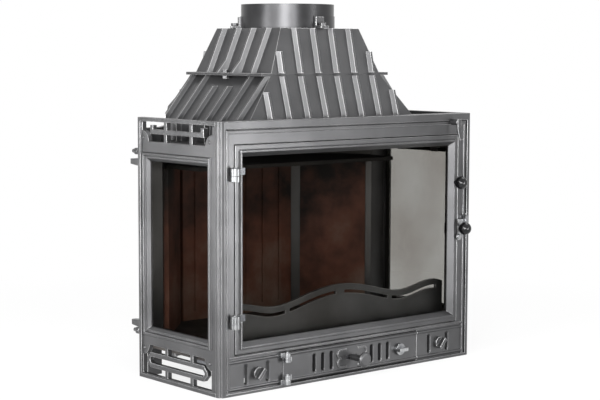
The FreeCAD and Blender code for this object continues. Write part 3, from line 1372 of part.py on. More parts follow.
def flue_collar():
    spigot = rod(0, FLUE_Y, HOOD_TOP, Z_AXIS, COLLAR_R, COLLAR_TOP - HOOD_TOP)
    stop = rod(0, FLUE_Y, HOOD_TOP, Z_AXIS, COLLAR_R + COLLAR_STEP, COLLAR_TOP - SPIGOT - HOOD_TOP)
    bore = rod(0, FLUE_Y, HOOD_TOP, Z_AXIS, COLLAR_R - COLLAR_WALL, COLLAR_TOP - HOOD_TOP)
    return cut(fuse([spigot, stop]), [bore])


def place_clamps(shape):
    """Copies of a piece drawn on the +X side of the flue, turned to each clamp."""
    copies = []
    for angle in CLAMP_ANGLES:
        turned = shape.copy()
        turned.rotate(vec(0, FLUE_Y, 0), Z_AXIS, angle)
        copies.append(turned)
    return Part.makeCompound(copies)


def clamp_bolt_r():
    return COLLAR_R + COLLAR_STEP + FIT + CLAMP + HEX_R + 1.0


def collar_clamps():
    """Angle lugs that hold the collar down on the hood."""
    inner = COLLAR_R + COLLAR_STEP + FIT
    outer = clamp_bolt_r() + HEX_R
    half = CLAMP_W / 2
    upright_top = COLLAR_TOP - SPIGOT - 2.0
    block = box(inner - 3, outer, FLUE_Y - half, FLUE_Y + half, HOOD_TOP, upright_top)
    space = box(inner + CLAMP, outer, FLUE_Y - half, FLUE_Y + half, HOOD_TOP + CLAMP, upright_top)
    round_cut = rod(0, FLUE_Y, HOOD_TOP, Z_AXIS, inner, COLLAR_TOP - HOOD_TOP)
    hole = rod(clamp_bolt_r(), FLUE_Y, HOOD_TOP, Z_AXIS, BOLT_R + FIT, CLAMP)
    return place_clamps(cut(block, [space, round_cut, hole]))


def collar_bolts():
    head = hexagon(clamp_bolt_r(), FLUE_Y, HOOD_TOP + CLAMP, Z_AXIS, HEX_R, HEX_H)
    shank = rod(clamp_bolt_r(), FLUE_Y, HOOD_TOP, Z_AXIS, BOLT_R, CLAMP)
    return place_clamps(fuse([head, shank]))


NODES = {
    "front_frame": front_frame,
    "left_side_panel": side_panel,
    "rear_shell": rear_shell,
    "hearth_plate": hearth_plate,
    "top_deck": top_deck,
    "lower_hood": lower_hood,
    "upper_hood": upper_hood,
    "hood_bolts": hood_bolts,
    "hood_nuts": hood_nuts,
    "flue_collar": flue_collar,
    "collar_clamps": collar_clamps,
    "collar_bolts": collar_bolts,
    "left_side_glass": side_glass,
    "left_glass_seal": side_glass_seal,
    "left_glass_clips": side_glass_clips,
    "rear_clamp_bolts": rear_clamp_bolts,
    "back_liner": back_liner,
    "left_liner": side_liner,
    "baffle_plate": baffle_plate,
    "fire_grate": fire_grate,
    "log_guard": log_guard,
    "ash_box": ash_box,
    "ash_pan": ash_pan,
    "door_hinge_brackets": door_hinge_brackets,
    "door_hinge_pins": door_hinge_pins,
    "door_keeper": door_keeper,
    "ash_hinge_brackets": ash_hinge_brackets,
    "ash_hinge_pins": ash_hinge_pins,
    "ash_keeper": ash_keeper,
    "air_wash_plate": air_wash_plate,
    "air_wash_shutter": air_wash_shutter,
    "shutter_fork": shutter_fork,
    "air_wash_lever": air_wash_lever,
    "door_frame": door_frame,
    "door_glass": door_glass,
    "door_glass_seal": door_glass_seal,
    "door_glass_clips": door_glass_clips,
    "door_rope_seal": door_rope_seal,
    "door_hinge_straps": hinge_straps,
    "door_knob": door_knob,
    "latch_pivot": latch_pivot,
    "latch_lever": latch_lever,
    "latch_ball": latch_ball,
    "ash_door_panel": ash_door_panel,
    "ash_hinge_leaves": ash_hinge_leaves,
    "slide_guides": slide_guides,
    "air_slide": air_slide,
    "slide_knob": slide_knob,
    "ash_latch_knob": ash_latch_knob,
    "ash_latch_cam": ash_latch_cam,
}

MIRRORED = {
    "left_side_panel": "right_side_panel",
    "left_side_glass": "right_side_glass",
    "left_glass_seal": "right_glass_seal",
    "left_glass_clips": "right_glass_clips",
    "left_liner": "right_liner",
}


def main():
    os.makedirs("parts", exist_ok=True)
    for name, make in NODES.items():
        shape = make()
        save(name, shape)
        if name in MIRRORED:
            save(MIRRORED[name], mirror(shape))
    for side, word in ((-1, "left"), (1, "right")):
        save(word + "_air_knob", valve_knob(side))
        save(word + "_air_shutter", valve_shutter(side))


main()
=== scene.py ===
"""Looks of the three-sided cast-iron fireplace insert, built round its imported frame.

Metres, in the frame of the solids: X across the front, +Y from the front to the rear wall, +Z up.
"""
import bpy
import json
import math
from mathutils import Matrix, Vector


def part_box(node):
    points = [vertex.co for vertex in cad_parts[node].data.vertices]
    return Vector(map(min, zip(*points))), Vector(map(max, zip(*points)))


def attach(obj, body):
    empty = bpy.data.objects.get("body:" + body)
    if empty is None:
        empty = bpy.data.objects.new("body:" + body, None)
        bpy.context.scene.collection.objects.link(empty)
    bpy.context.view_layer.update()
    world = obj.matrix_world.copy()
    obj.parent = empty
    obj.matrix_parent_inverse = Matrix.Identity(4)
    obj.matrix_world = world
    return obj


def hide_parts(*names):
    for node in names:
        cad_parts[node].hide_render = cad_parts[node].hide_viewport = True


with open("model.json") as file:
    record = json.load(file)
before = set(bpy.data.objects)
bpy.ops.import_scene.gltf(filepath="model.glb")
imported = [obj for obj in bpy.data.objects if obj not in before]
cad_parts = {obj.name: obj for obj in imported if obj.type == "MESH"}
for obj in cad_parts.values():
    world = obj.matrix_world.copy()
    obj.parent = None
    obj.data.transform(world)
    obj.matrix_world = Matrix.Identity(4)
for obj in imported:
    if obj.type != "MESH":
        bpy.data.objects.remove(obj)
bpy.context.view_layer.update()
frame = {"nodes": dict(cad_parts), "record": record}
NODES = frame["nodes"]
MM = 0.001
FULL_TURN = 2 * math.pi
JOINT_HEIGHT = sum(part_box("hood_bolts"), Vector()).z / 2
SKIRT_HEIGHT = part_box("front_frame")[1].z

# Inputs and outputs told apart by number, because these nodes repeat their names
VALUE, FROM_LOW, FROM_HIGH, TO_LOW, TO_HIGH = range(5)
SHARE, TONE_A, TONE_B, MIXED_TONE = 0, 6, 7, 2
FACING_A, FACING_B, MIXED_FACING = 4, 5, 1

# Most of a noise pattern lies between these values
NOISE_LOW, NOISE_HIGH = 0.3, 0.7
NOISE_SPAN = {FROM_LOW: NOISE_LOW, FROM_HIGH: NOISE_HIGH}


def linear(code):
    """An sRGB hex colour as linear RGBA."""
    channels = [int(code[at:at + 2], 16) / 255 for at in (1, 3, 5)]
    return tuple(c / 12.92 if c <= 0.04045 else ((c + 0.055) / 1.055) ** 2.4
                 for c in channels) + (1.0,)


def per(size_mm):
    """Texture scale on Object coordinates for a pattern of that size."""
    return 1.0 / (size_mm * MM)


def over_noise(shade, tone):
    """Ramp stops from a shade to a tone over the span of a noise pattern."""
    return [(NOISE_LOW, shade), (NOISE_HIGH, tone)]


def add(tree, kind, inputs=None, stops=None, **settings):
    """Adds a node. An input takes a value, an output, a node for its first live output, or a
    list of these."""
    made = tree.nodes.new(kind)
    for key, value in settings.items():
        setattr(made, key, value)
    if stops:
        elements = made.color_ramp.elements
        while len(elements) < len(stops):
            elements.new(1.0)
        for element, (place, code) in zip(elements, stops):
            element.position = place
            element.color = linear(code)
    for key, value in (inputs or {}).items():
        for item in value if isinstance(value, list) else [value]:
            if isinstance(item, bpy.types.Node):
                item = next(out for out in item.outputs if out.enabled)
            if isinstance(item, bpy.types.NodeSocket):
                tree.links.new(item, made.inputs[key])
            else:
                made.inputs[key].default_value = item
    return made


def finish_tree(name):
    """A new finish, its tree and the Object coordinates its patterns lie on."""
    made = bpy.data.materials.new(name)
    made.use_nodes = True
    made.node_tree.nodes.clear()
    return made, made.node_tree, add(made.node_tree, "ShaderNodeTexCoord").outputs["Object"]


# Finishes

def painted_cast_iron(name, dull, paint, rubbed_and_highlight, metallic, rough, grit_mm, grit_bump, groove_shade,
                      flank=None):
    """Iron cast in sand under satin stove paint: a fine sandy skin and cloudy tone, painted shade
    darkening the grooves, and raised edges brightened as worn bare metal and painted highlight.
    With a flank tone, the steep sides of the hood's ribs get a paler and less metallic coat,
    which stands in for the light that falls on them in the photo; the joint flange and the
    skirt keep the plain coat."""
    made, tree, place = finish_tree(name)
    cloud = add(tree, "ShaderNodeTexNoise", {"Vector": place, "Scale": per(90.0), "Detail": 3.0})
    grit = add(tree, "ShaderNodeTexNoise", {"Vector": place, "Scale": per(grit_mm), "Detail": 2.0})
    tone = add(tree, "ShaderNodeValToRGB", {"Fac": cloud}, stops=[(0.35, dull), (0.65, paint)])

    # Painted shade: the grooves, found by ambient occlusion, are darkened towards near black
    groove = add(tree, "ShaderNodeAmbientOcclusion", {"Distance": 5.0 * MM}, samples=6)
    groove_shading = add(tree, "ShaderNodeMapRange", {VALUE: groove.outputs["AO"], FROM_LOW: 0.2,
                                             FROM_HIGH: 0.6, TO_LOW: groove_shade, TO_HIGH: 0.0})
    groove_shade_black = linear("#121213")
    coat = add(tree, "ShaderNodeMix", {SHARE: groove_shading, TONE_A: tone, TONE_B: groove_shade_black},
               data_type="RGBA").outputs[MIXED_TONE]

    # Painted highlight and worn bare metal where the eased normal leaves the face and the metal
    # behind it is thin
    eased = add(tree, "ShaderNodeBevel", {"Radius": 2.5 * MM}, samples=8)
    flat = add(tree, "ShaderNodeNewGeometry").outputs["True Normal"]
    turned = add(tree, "ShaderNodeVectorMath", {0: eased, 1: flat}, operation="DOT_PRODUCT")
    rim = add(tree, "ShaderNodeMapRange", {VALUE: turned.outputs["Value"], FROM_LOW: 0.995,
                                           FROM_HIGH: 0.88, TO_LOW: 0.0, TO_HIGH: 1.0})
    thin = add(tree, "ShaderNodeAmbientOcclusion", {"Distance": 3.0 * MM}, samples=6, inside=True)
    raised = add(tree, "ShaderNodeMapRange", {VALUE: thin.outputs["AO"], FROM_LOW: 0.8,
                                              FROM_HIGH: 0.5, TO_LOW: 0.0, TO_HIGH: 1.0})
    edge = add(tree, "ShaderNodeMath", {0: rim, 1: raised}, operation="MULTIPLY")
    patch = add(tree, "ShaderNodeMapRange", {VALUE: cloud, FROM_LOW: 0.35, FROM_HIGH: 0.6,
                                             TO_LOW: 0.45, TO_HIGH: 1.0})
    wear_and_highlight = add(tree, "ShaderNodeMath", {0: edge, 1: patch}, operation="MULTIPLY")

    if flank:
        flange_edge, rib_start, skirt_fade = 2.8 * MM, 3.6 * MM, 5.0 * MM
        rib_slope, wall_slope, flank_metallic = 0.12, 0.16, 0.15
        height = add(tree, "ShaderNodeSeparateXYZ", {0: place}).outputs["Z"]
        off_joint = add(tree, "ShaderNodeMath", {0: height, 1: JOINT_HEIGHT}, operation="SUBTRACT")
        off_joint = add(tree, "ShaderNodeMath", {0: off_joint}, operation="ABSOLUTE")
        clear = add(tree, "ShaderNodeMapRange", {VALUE: off_joint, FROM_LOW: flange_edge,
                                                 FROM_HIGH: rib_start})
        wear_and_highlight = add(tree, "ShaderNodeMath", {0: wear_and_highlight, 1: clear}, operation="MULTIPLY")
        slope = add(tree, "ShaderNodeSeparateXYZ", {0: flat}).outputs["Z"]
        steep = add(tree, "ShaderNodeMapRange", {VALUE: slope, FROM_LOW: rib_slope,
                                                 FROM_HIGH: wall_slope, TO_LOW: 1.0, TO_HIGH: 0.0})
        above = add(tree, "ShaderNodeMapRange", {VALUE: height,
                                                 FROM_LOW: SKIRT_HEIGHT - skirt_fade,
                                                 FROM_HIGH: SKIRT_HEIGHT + skirt_fade})
        pale = add(tree, "ShaderNodeMath", {0: steep, 1: clear}, operation="MULTIPLY")
        pale = add(tree, "ShaderNodeMath", {0: pale, 1: above}, operation="MULTIPLY")
        coat = add(tree, "ShaderNodeMix", {SHARE: pale, TONE_A: coat, TONE_B: linear(flank)},
                   data_type="RGBA").outputs[MIXED_TONE]
        metallic = add(tree, "ShaderNodeMapRange", {VALUE: pale, FROM_LOW: 0.0, FROM_HIGH: 1.0,
                                                    TO_LOW: metallic, TO_HIGH: flank_metallic})

    # Edges mixed towards the bright edge tone: painted highlight with worn metal
    colour = add(tree, "ShaderNodeMix", {SHARE: wear_and_highlight, TONE_A: coat, TONE_B: linear(rubbed_and_highlight)},
                 data_type="RGBA").outputs[MIXED_TONE]
    gloss = add(tree, "ShaderNodeMapRange", {VALUE: grit, **NOISE_SPAN, TO_LOW: rough - 0.05,
                                             TO_HIGH: rough + 0.07})
    skin = add(tree, "ShaderNodeBump", {"Strength": grit_bump, "Distance": 0.25 * MM,
                                        "Height": grit, "Normal": eased})
    shader = add(tree, "ShaderNodeBsdfPrincipled", {"Base Color": colour, "Metallic": metallic,
                                                    "Roughness": gloss, "Normal": skin})
    add(tree, "ShaderNodeOutputMaterial", {"Surface": shader})
    return made


def hinge_cast_iron(name, paint, shade, tone, paint_from_x):
    """Hinge castings: the barrel ground to bare grey metal with grinding lines along Z, and the
    strap past it still under dark paint."""
    made, tree, place = finish_tree(name)
    paint_fade = 1.5 * MM
    x = add(tree, "ShaderNodeSeparateXYZ", {0: place}).outputs["X"]
    strap = add(tree, "ShaderNodeMapRange", {VALUE: x, FROM_LOW: paint_from_x - paint_fade,
                                             FROM_HIGH: paint_from_x + paint_fade})
    drawn = add(tree, "ShaderNodeMapping", {"Vector": place, "Scale": (1.0, 1.0, 0.06)})
    line = add(tree, "ShaderNodeTexNoise", {"Vector": drawn, "Scale": per(1.1), "Detail": 3.0})
    ground = add(tree, "ShaderNodeValToRGB", {"Fac": line}, stops=over_noise(shade, tone))
    colour = add(tree, "ShaderNodeMix", {SHARE: strap, TONE_A: ground, TONE_B: linear(paint)},
                 data_type="RGBA").outputs[MIXED_TONE]
    gloss = add(tree, "ShaderNodeMapRange", {VALUE: line, **NOISE_SPAN, TO_LOW: 0.24,
                                             TO_HIGH: 0.40})
    eased = add(tree, "ShaderNodeBevel", {"Radius": 1.2 * MM}, samples=6)
    skin = add(tree, "ShaderNodeBump", {"Strength": 0.2, "Distance": 0.15 * MM, "Height": line,
                                        "Normal": eased})
    shader = add(tree, "ShaderNodeBsdfPrincipled", {"Base Color": colour, "Metallic": 0.9,
                                                    "Roughness": gloss, "Normal": skin})
    add(tree, "ShaderNodeOutputMaterial", {"Surface": shader})
    return made


def turned_metal(name, shade, tone, rough, ring_mm, ease_mm):
    """Turned metal: lathe rings round Z, coarser than the real 0.2 mm so that they show, and a
    faint stain."""
    made, tree, place = finish_tree(name)
    ring = add(tree, "ShaderNodeTexWave", {"Vector": place, "Scale": per(ring_mm * FULL_TURN),
                                           "Distortion": 1.0, "Detail": 1.0},
               bands_direction="Z").outputs["Fac"]
    stain = add(tree, "ShaderNodeTexNoise", {"Vector": place, "Scale": per(14.0), "Detail": 3.0})
    colour = add(tree, "ShaderNodeValToRGB", {"Fac": stain}, stops=over_noise(shade, tone))
    gloss = add(tree, "ShaderNodeMapRange", {VALUE: ring, FROM_LOW: 0.0, FROM_HIGH: 1.0,
                                             TO_LOW: rough - 0.02, TO_HIGH: rough + 0.03})
    eased = add(tree, "ShaderNodeBevel", {"Radius": ease_mm * MM}, samples=12)
    skin = add(tree, "ShaderNodeBump", {"Strength": 0.03, "Distance": 0.1 * MM, "Height": ring,
                                        "Normal": eased})
    shader = add(tree, "ShaderNodeBsdfPrincipled", {"Base Color": colour, "Metallic": 1.0,
                                                    "Roughness": gloss, "Normal": skin})
    add(tree, "ShaderNodeOutputMaterial", {"Surface": shader})
    return made


def turned_collar_iron(name, shade, tone, rough):
    """The flue collar, turned on a lathe about Z: a smooth round wall, with one soft band of light
    down it."""
    made, tree, place = finish_tree(name)
    cloud = add(tree, "ShaderNodeTexNoise", {"Vector": place, "Scale": per(60.0), "Detail": 3.0})
    colour = add(tree, "ShaderNodeValToRGB", {"Fac": cloud}, stops=over_noise(shade, tone))
    gloss = add(tree, "ShaderNodeMapRange", {VALUE: cloud, **NOISE_SPAN, TO_LOW: rough - 0.02,
                                             TO_HIGH: rough + 0.02})

    # On the wall the normal points straight from the axis or to it
    wall_from = 0.7
    flat = add(tree, "ShaderNodeNewGeometry").outputs["True Normal"]
    level = add(tree, "ShaderNodeVectorMath", {0: place, 1: (1.0, 1.0, 0.0)}, operation="MULTIPLY")
    radial = add(tree, "ShaderNodeVectorMath", {0: level}, operation="NORMALIZE")
    side = add(tree, "ShaderNodeVectorMath", {0: radial, 1: flat},
               operation="DOT_PRODUCT").outputs["Value"]
    in_or_out = add(tree, "ShaderNodeMath", {0: side}, operation="SIGN")
    wall = add(tree, "ShaderNodeVectorMath", {0: radial, "Scale": in_or_out}, operation="SCALE")
    steep = add(tree, "ShaderNodeMath", {0: side}, operation="ABSOLUTE")
    on_wall = add(tree, "ShaderNodeMath", {0: steep, 1: wall_from}, operation="GREATER_THAN")
    facing = add(tree, "ShaderNodeMix", {SHARE: on_wall, FACING_A: flat, FACING_B: wall},
                 data_type="VECTOR").outputs[MIXED_FACING]
    shader = add(tree, "ShaderNodeBsdfPrincipled", {"Base Color": colour, "Metallic": 1.0,
                                                    "Roughness": gloss, "Normal": facing})
    add(tree, "ShaderNodeOutputMaterial", {"Surface": shader})
    return made


def sooted_cast_iron(name, soot, rust, ash):
    """Bare cast iron in the fire: heat-browned skin under drifts of black soot, with a pale powder
    of ash low down."""
    made, tree, place = finish_tree(name)
    ash_below, soot_above = 80.0 * MM, 440.0 * MM
    drift = add(tree, "ShaderNodeTexNoise", {"Vector": place, "Scale": per(130.0), "Detail": 5.0,
                                             "Roughness": 0.6})
    scale = add(tree, "ShaderNodeTexNoise", {"Vector": place, "Scale": per(22.0), "Detail": 3.0})
    height = add(tree, "ShaderNodeSeparateXYZ", {0: place}).outputs["Z"]
    climb = add(tree, "ShaderNodeMapRange", {VALUE: height, FROM_LOW: ash_below,
                                             FROM_HIGH: soot_above, TO_LOW: 0.10, TO_HIGH: -0.12})
    lie = add(tree, "ShaderNodeMath", {0: drift, 1: climb}, operation="ADD")
    colour = add(tree, "ShaderNodeValToRGB", {"Fac": lie},
                 stops=[(0.28, soot), (0.56, rust), (0.9, ash)])
    gloss = add(tree, "ShaderNodeMapRange", {VALUE: drift, **NOISE_SPAN, TO_LOW: 0.86,
                                             TO_HIGH: 0.66})
    eased = add(tree, "ShaderNodeBevel", {"Radius": 1.0 * MM}, samples=4)
    skin = add(tree, "ShaderNodeBump", {"Strength": 0.15, "Distance": 0.6 * MM, "Height": scale,
                                        "Normal": eased})
    shader = add(tree, "ShaderNodeBsdfPrincipled", {"Base Color": colour, "Metallic": 0.1,
                                                    "Roughness": gloss, "Normal": skin})
    add(tree, "ShaderNodeOutputMaterial", {"Surface": shader})
    return made


def rolled_sheet_steel(name, shade, tone):
    """Cold-rolled sheet: long rolling streaks along X under a dull oxide bloom."""
    made, tree, place = finish_tree(name)
    drawn = add(tree, "ShaderNodeMapping", {"Vector": place, "Scale": (0.04, 1.0, 1.0)})
    streak = add(tree, "ShaderNodeTexNoise", {"Vector": drawn, "Scale": per(3.0), "Detail": 3.0})
    bloom = add(tree, "ShaderNodeTexNoise", {"Vector": place, "Scale": per(40.0), "Detail": 4.0})
    both = add(tree, "ShaderNodeMath", {0: streak, 1: bloom}, operation="ADD")
    fade = add(tree, "ShaderNodeMapRange", {VALUE: both, FROM_LOW: 0.7, FROM_HIGH: 1.3})
    colour = add(tree, "ShaderNodeValToRGB", {"Fac": fade}, stops=[(0.0, shade), (1.0, tone)])
    gloss = add(tree, "ShaderNodeMapRange", {VALUE: streak, **NOISE_SPAN, TO_LOW: 0.40,
                                             TO_HIGH: 0.60})
    shader = add(tree, "ShaderNodeBsdfPrincipled", {"Base Color": colour, "Metallic": 0.9,
                                                    "Roughness": gloss})
    add(tree, "ShaderNodeOutputMaterial", {"Surface": shader})
    return made


def drawn_glass_ceramic(name, smoked, clear):
    """Drawn glass-ceramic pane: smoke-grey, browned in faint drifts by the fire. Its IOR is
    typically 1.54. It is 1.0 here so that the white room's reflection does not veil the inside,
    and so the pane has no gloss. Lamps shine through it."""
    made, tree, place = finish_tree(name)
    film = add(tree, "ShaderNodeTexNoise", {"Vector": place, "Scale": per(180.0), "Detail": 3.0})
    tint = add(tree, "ShaderNodeValToRGB", {"Fac": film}, stops=over_noise(smoked, clear))
    pane = add(tree, "ShaderNodeBsdfPrincipled", {"Base Color": tint, "Roughness": 0.0, "IOR": 1.0,
                                                  "Transmission Weight": 1.0})
    through = add(tree, "ShaderNodeBsdfTransparent", {"Color": tint})
    lamps = add(tree, "ShaderNodeLightPath").outputs["Is Shadow Ray"]
    surface = add(tree, "ShaderNodeMixShader", {0: lamps, 1: pane, 2: through})
    add(tree, "ShaderNodeOutputMaterial", {"Surface": surface})
    return made


def pressed_phenolic(name, deep, swirl_tone):
    """Phenolic resin pressed in a polished mould: deep glossy black with a faint flow swirl."""
    made, tree, place = finish_tree(name)
    swirl = add(tree, "ShaderNodeTexNoise", {"Vector": place, "Scale": per(7.0), "Detail": 4.0,
                                             "Distortion": 1.2})
    colour = add(tree, "ShaderNodeValToRGB", {"Fac": swirl}, stops=over_noise(deep, swirl_tone))
    gloss = add(tree, "ShaderNodeMapRange", {VALUE: swirl, **NOISE_SPAN, TO_LOW: 0.10,
                                             TO_HIGH: 0.20})
    shader = add(tree, "ShaderNodeBsdfPrincipled", {"Base Color": colour, "Roughness": gloss,
                                                    "IOR": 1.5, "Specular IOR Level": 0.3})
    add(tree, "ShaderNodeOutputMaterial", {"Surface": shader})
    return made


def knitted_glass_yarn(name, shade, tone):
    """Knitted glass-yarn seal, graphite black: loops of yarn, drawn at 1.2 mm, with a dry sheen."""
    made, tree, place = finish_tree(name)
    loop = add(tree, "ShaderNodeTexVoronoi", {"Vector": place, "Scale": per(1.2)})
    fuzz = add(tree, "ShaderNodeTexNoise", {"Vector": place, "Scale": per(5.0), "Detail": 4.0})
    colour = add(tree, "ShaderNodeValToRGB", {"Fac": fuzz}, stops=over_noise(shade, tone))
    gloss = add(tree, "ShaderNodeMapRange", {VALUE: fuzz, **NOISE_SPAN, TO_LOW: 0.88,
                                             TO_HIGH: 0.98})
    skin = add(tree, "ShaderNodeBump", {"Strength": 0.6, "Distance": 0.4 * MM,
                                        "Height": loop.outputs["Distance"]})
    shader = add(tree, "ShaderNodeBsdfPrincipled", {"Base Color": colour, "Roughness": gloss,
                                                    "Sheen Weight": 0.2, "Normal": skin})
    add(tree, "ShaderNodeOutputMaterial", {"Surface": shader})
    return made


# Bright edge tones are painted highlight with worn metal; groove darkening is painted shade
HOOD_COAT = {"dull": "#484849", "paint": "#525253", "rubbed_and_highlight": "#cfcfcf", "metallic": 0.78,
             "rough": 0.36, "grit_mm": 1.8, "grit_bump": 0.08, "groove_shade": 0.4}
BODY_IRON = painted_cast_iron("satin_painted_cast_iron", dull="#444445", paint="#4f4f50",
                              rubbed_and_highlight="#adadae", metallic=0.80, rough=0.37, grit_mm=1.6,
                              grit_bump=0.08, groove_shade=0.8)
HOOD_IRON = painted_cast_iron("satin_painted_hood_iron", **HOOD_COAT)
RIB_IRON = painted_cast_iron("satin_painted_rib_iron", **HOOD_COAT, flank="#767677")
GUARD_IRON = painted_cast_iron("black_painted_guard_iron", dull="#4a4a4b", paint="#565657",
                               rubbed_and_highlight="#b2b2b2", metallic=0.80, rough=0.40, grit_mm=9.0,
                               grit_bump=0.03, groove_shade=0.5)
HINGE_IRON = hinge_cast_iron("ground_hinge_iron", paint="#3d3e40", shade="#4b4c4d",
                             tone="#828384", paint_from_x=-306.0 * MM)
COLLAR_IRON = turned_collar_iron("turned_collar_iron", shade="#3a3a3b", tone="#424243", rough=0.33)
STEEL = turned_metal("turned_steel", shade="#838486", tone="#a9aaab", rough=0.26, ring_mm=0.6,
                     ease_mm=0.8)
FIRE_IRON = sooted_cast_iron("sooted_cast_iron", soot="#0d0908", rust="#5c3526", ash="#75685e")
HEARTH_IRON = sooted_cast_iron("blackened_hearth_iron", soot="#0b0a0a", rust="#1c1816",
                               ash="#3a3633")
SHEET = rolled_sheet_steel("rolled_sheet_steel", shade="#55565a", tone="#7d7e82")
GLASS = drawn_glass_ceramic("drawn_glass_ceramic", smoked="#b3b0ac", clear="#c6c6c4")
BALL = pressed_phenolic("pressed_phenolic", deep="#060607", swirl_tone="#141415")
YARN = knitted_glass_yarn("knitted_glass_yarn", shade="#191817", tone="#34322f")

SLOT_FINISH = {
    "frame_iron": BODY_IRON,
    "hood_iron": HOOD_IRON,
    "fire_iron": FIRE_IRON,
    "sheet_steel": SHEET,
    "bright_steel": STEEL,
    "fire_glass": GLASS,
    "seal_rope": YARN,
    "ball_black": BALL,
}
OWN_FINISH = {
    "lower_hood": RIB_IRON,
    "upper_hood": RIB_IRON,
    "flue_collar": COLLAR_IRON,
    "log_guard": GUARD_IRON,
    "hearth_plate": HEARTH_IRON,
    "fire_grate": HEARTH_IRON,
    "baffle_plate": HEARTH_IRON,
    "air_wash_lever": BODY_IRON,
    "door_hinge_straps": HINGE_IRON,
    "door_hinge_brackets": HINGE_IRON,
    "left_air_knob": BODY_IRON,
    "right_air_knob": BODY_IRON,
    "slide_knob": BODY_IRON,
    "hood_bolts": HOOD_IRON,
    "hood_nuts": HOOD_IRON,
    "collar_bolts": HOOD_IRON,
    "rear_clamp_bolts": BODY_IRON,
}

for subpart in frame["record"]["subparts"]:
    finishes = NODES[subpart["node"]].data.materials
    finishes.clear()
    finishes.append(OWN_FINISH.get(subpart["node"], SLOT_FINISH[subpart["material_slot"]]))


# Rivets, screws and seals

def piece_tree(name, sizes):
    """A geometry tree with named size inputs, lengths in metres and angles in radians."""
    tree = bpy.data.node_groups.new(name, "GeometryNodeTree")
    tree.interface.new_socket("Geometry", in_out="INPUT", socket_type="NodeSocketGeometry")
    for key, value in sizes.items():
        socket = tree.interface.new_socket(key, in_out="INPUT", socket_type="NodeSocketFloat")
        socket.default_value = value
    tree.interface.new_socket("Geometry", in_out="OUTPUT", socket_type="NodeSocketGeometry")
    return tree, add(tree, "NodeGroupInput").outputs


def on_points(tree, points, head):
    """One mesh of a head on every point, each turned to its point's facing."""
    facing = add(tree, "GeometryNodeInputNamedAttribute", {"Name": "facing"},
                 data_type="FLOAT_VECTOR")
    turn = add(tree, "FunctionNodeAlignRotationToVector", {"Vector": facing}, axis="Z")
    put = add(tree, "GeometryNodeInstanceOnPoints", {"Points": points, "Instance": head,
                                                     "Rotation": turn})
    return add(tree, "GeometryNodeRealizeInstances", {0: put})


def rivet_heads():
    """Dome heads on the points."""
    tree, sizes = piece_tree("rivet_heads", {"Head Radius": 4.0 * MM, "Head Rise": 2.2 * MM})
    radius = sizes["Head Radius"]
    dome = add(tree, "GeometryNodeMeshUVSphere", {"Segments": 20, "Rings": 12, "Radius": radius})
    rise = add(tree, "ShaderNodeMath", {0: sizes["Head Rise"], 1: radius}, operation="DIVIDE")
    low = add(tree, "ShaderNodeCombineXYZ", {"X": 1.0, "Y": 1.0, "Z": rise})
    head = add(tree, "GeometryNodeTransform", {"Geometry": dome, "Scale": low})
    whole = on_points(tree, sizes["Geometry"], head)
    smooth = add(tree, "GeometryNodeSetShadeSmooth", {0: whole})
    dressed = add(tree, "GeometryNodeSetMaterial", {"Geometry": smooth, "Material": BODY_IRON})
    add(tree, "NodeGroupOutput", {0: dressed})
    return tree


def slotted_screws():
    """Slotted cheese-head screws on washers, each washer half sunk at its point."""
    tree, sizes = piece_tree("slotted_screws", {"Head Radius": 3.0 * MM, "Head Rise": 1.8 * MM,
                                                "Washer Radius": 4.2 * MM,
                                                "Washer Rise": 0.5 * MM})
    radius, rise, washer_rise = sizes["Head Radius"], sizes["Head Rise"], sizes["Washer Rise"]
    slot_length, slot_width = 2.4, 0.3  # for a head of radius 1
    head = add(tree, "GeometryNodeMeshCylinder", {"Vertices": 20, "Radius": radius, "Depth": rise})
    lift = add(tree, "ShaderNodeMath", {0: rise, 1: 0.5, 2: washer_rise}, operation="MULTIPLY_ADD")
    lifted = add(tree, "ShaderNodeCombineXYZ", {"Z": lift})
    head = add(tree, "GeometryNodeTransform", {"Geometry": head, "Translation": lifted})

    long = add(tree, "ShaderNodeMath", {0: radius, 1: slot_length}, operation="MULTIPLY")
    wide = add(tree, "ShaderNodeMath", {0: radius, 1: slot_width}, operation="MULTIPLY")
    size = add(tree, "ShaderNodeCombineXYZ", {"X": long, "Y": wide, "Z": rise})
    cutter = add(tree, "GeometryNodeMeshCube", {"Size": size})
    top = add(tree, "ShaderNodeMath", {0: rise, 1: washer_rise}, operation="ADD")
    on_top = add(tree, "ShaderNodeCombineXYZ", {"Z": top})
    slot = add(tree, "GeometryNodeTransform", {"Geometry": cutter, "Translation": on_top})
    slotted = add(tree, "GeometryNodeMeshBoolean", {"Mesh 1": head, "Mesh 2": slot},
                  operation="DIFFERENCE")

    deep = add(tree, "ShaderNodeMath", {0: washer_rise, 1: 2.0}, operation="MULTIPLY")
    washer = add(tree, "GeometryNodeMeshCylinder", {"Vertices": 24, "Depth": deep,
                                                    "Radius": sizes["Washer Radius"]})
    both = add(tree, "GeometryNodeJoinGeometry", {0: [slotted, washer]})
    whole = on_points(tree, sizes["Geometry"], both)
    dressed = add(tree, "GeometryNodeSetMaterial", {"Geometry": whole, "Material": STEEL})
    add(tree, "NodeGroupOutput", {0: dressed})
    return tree


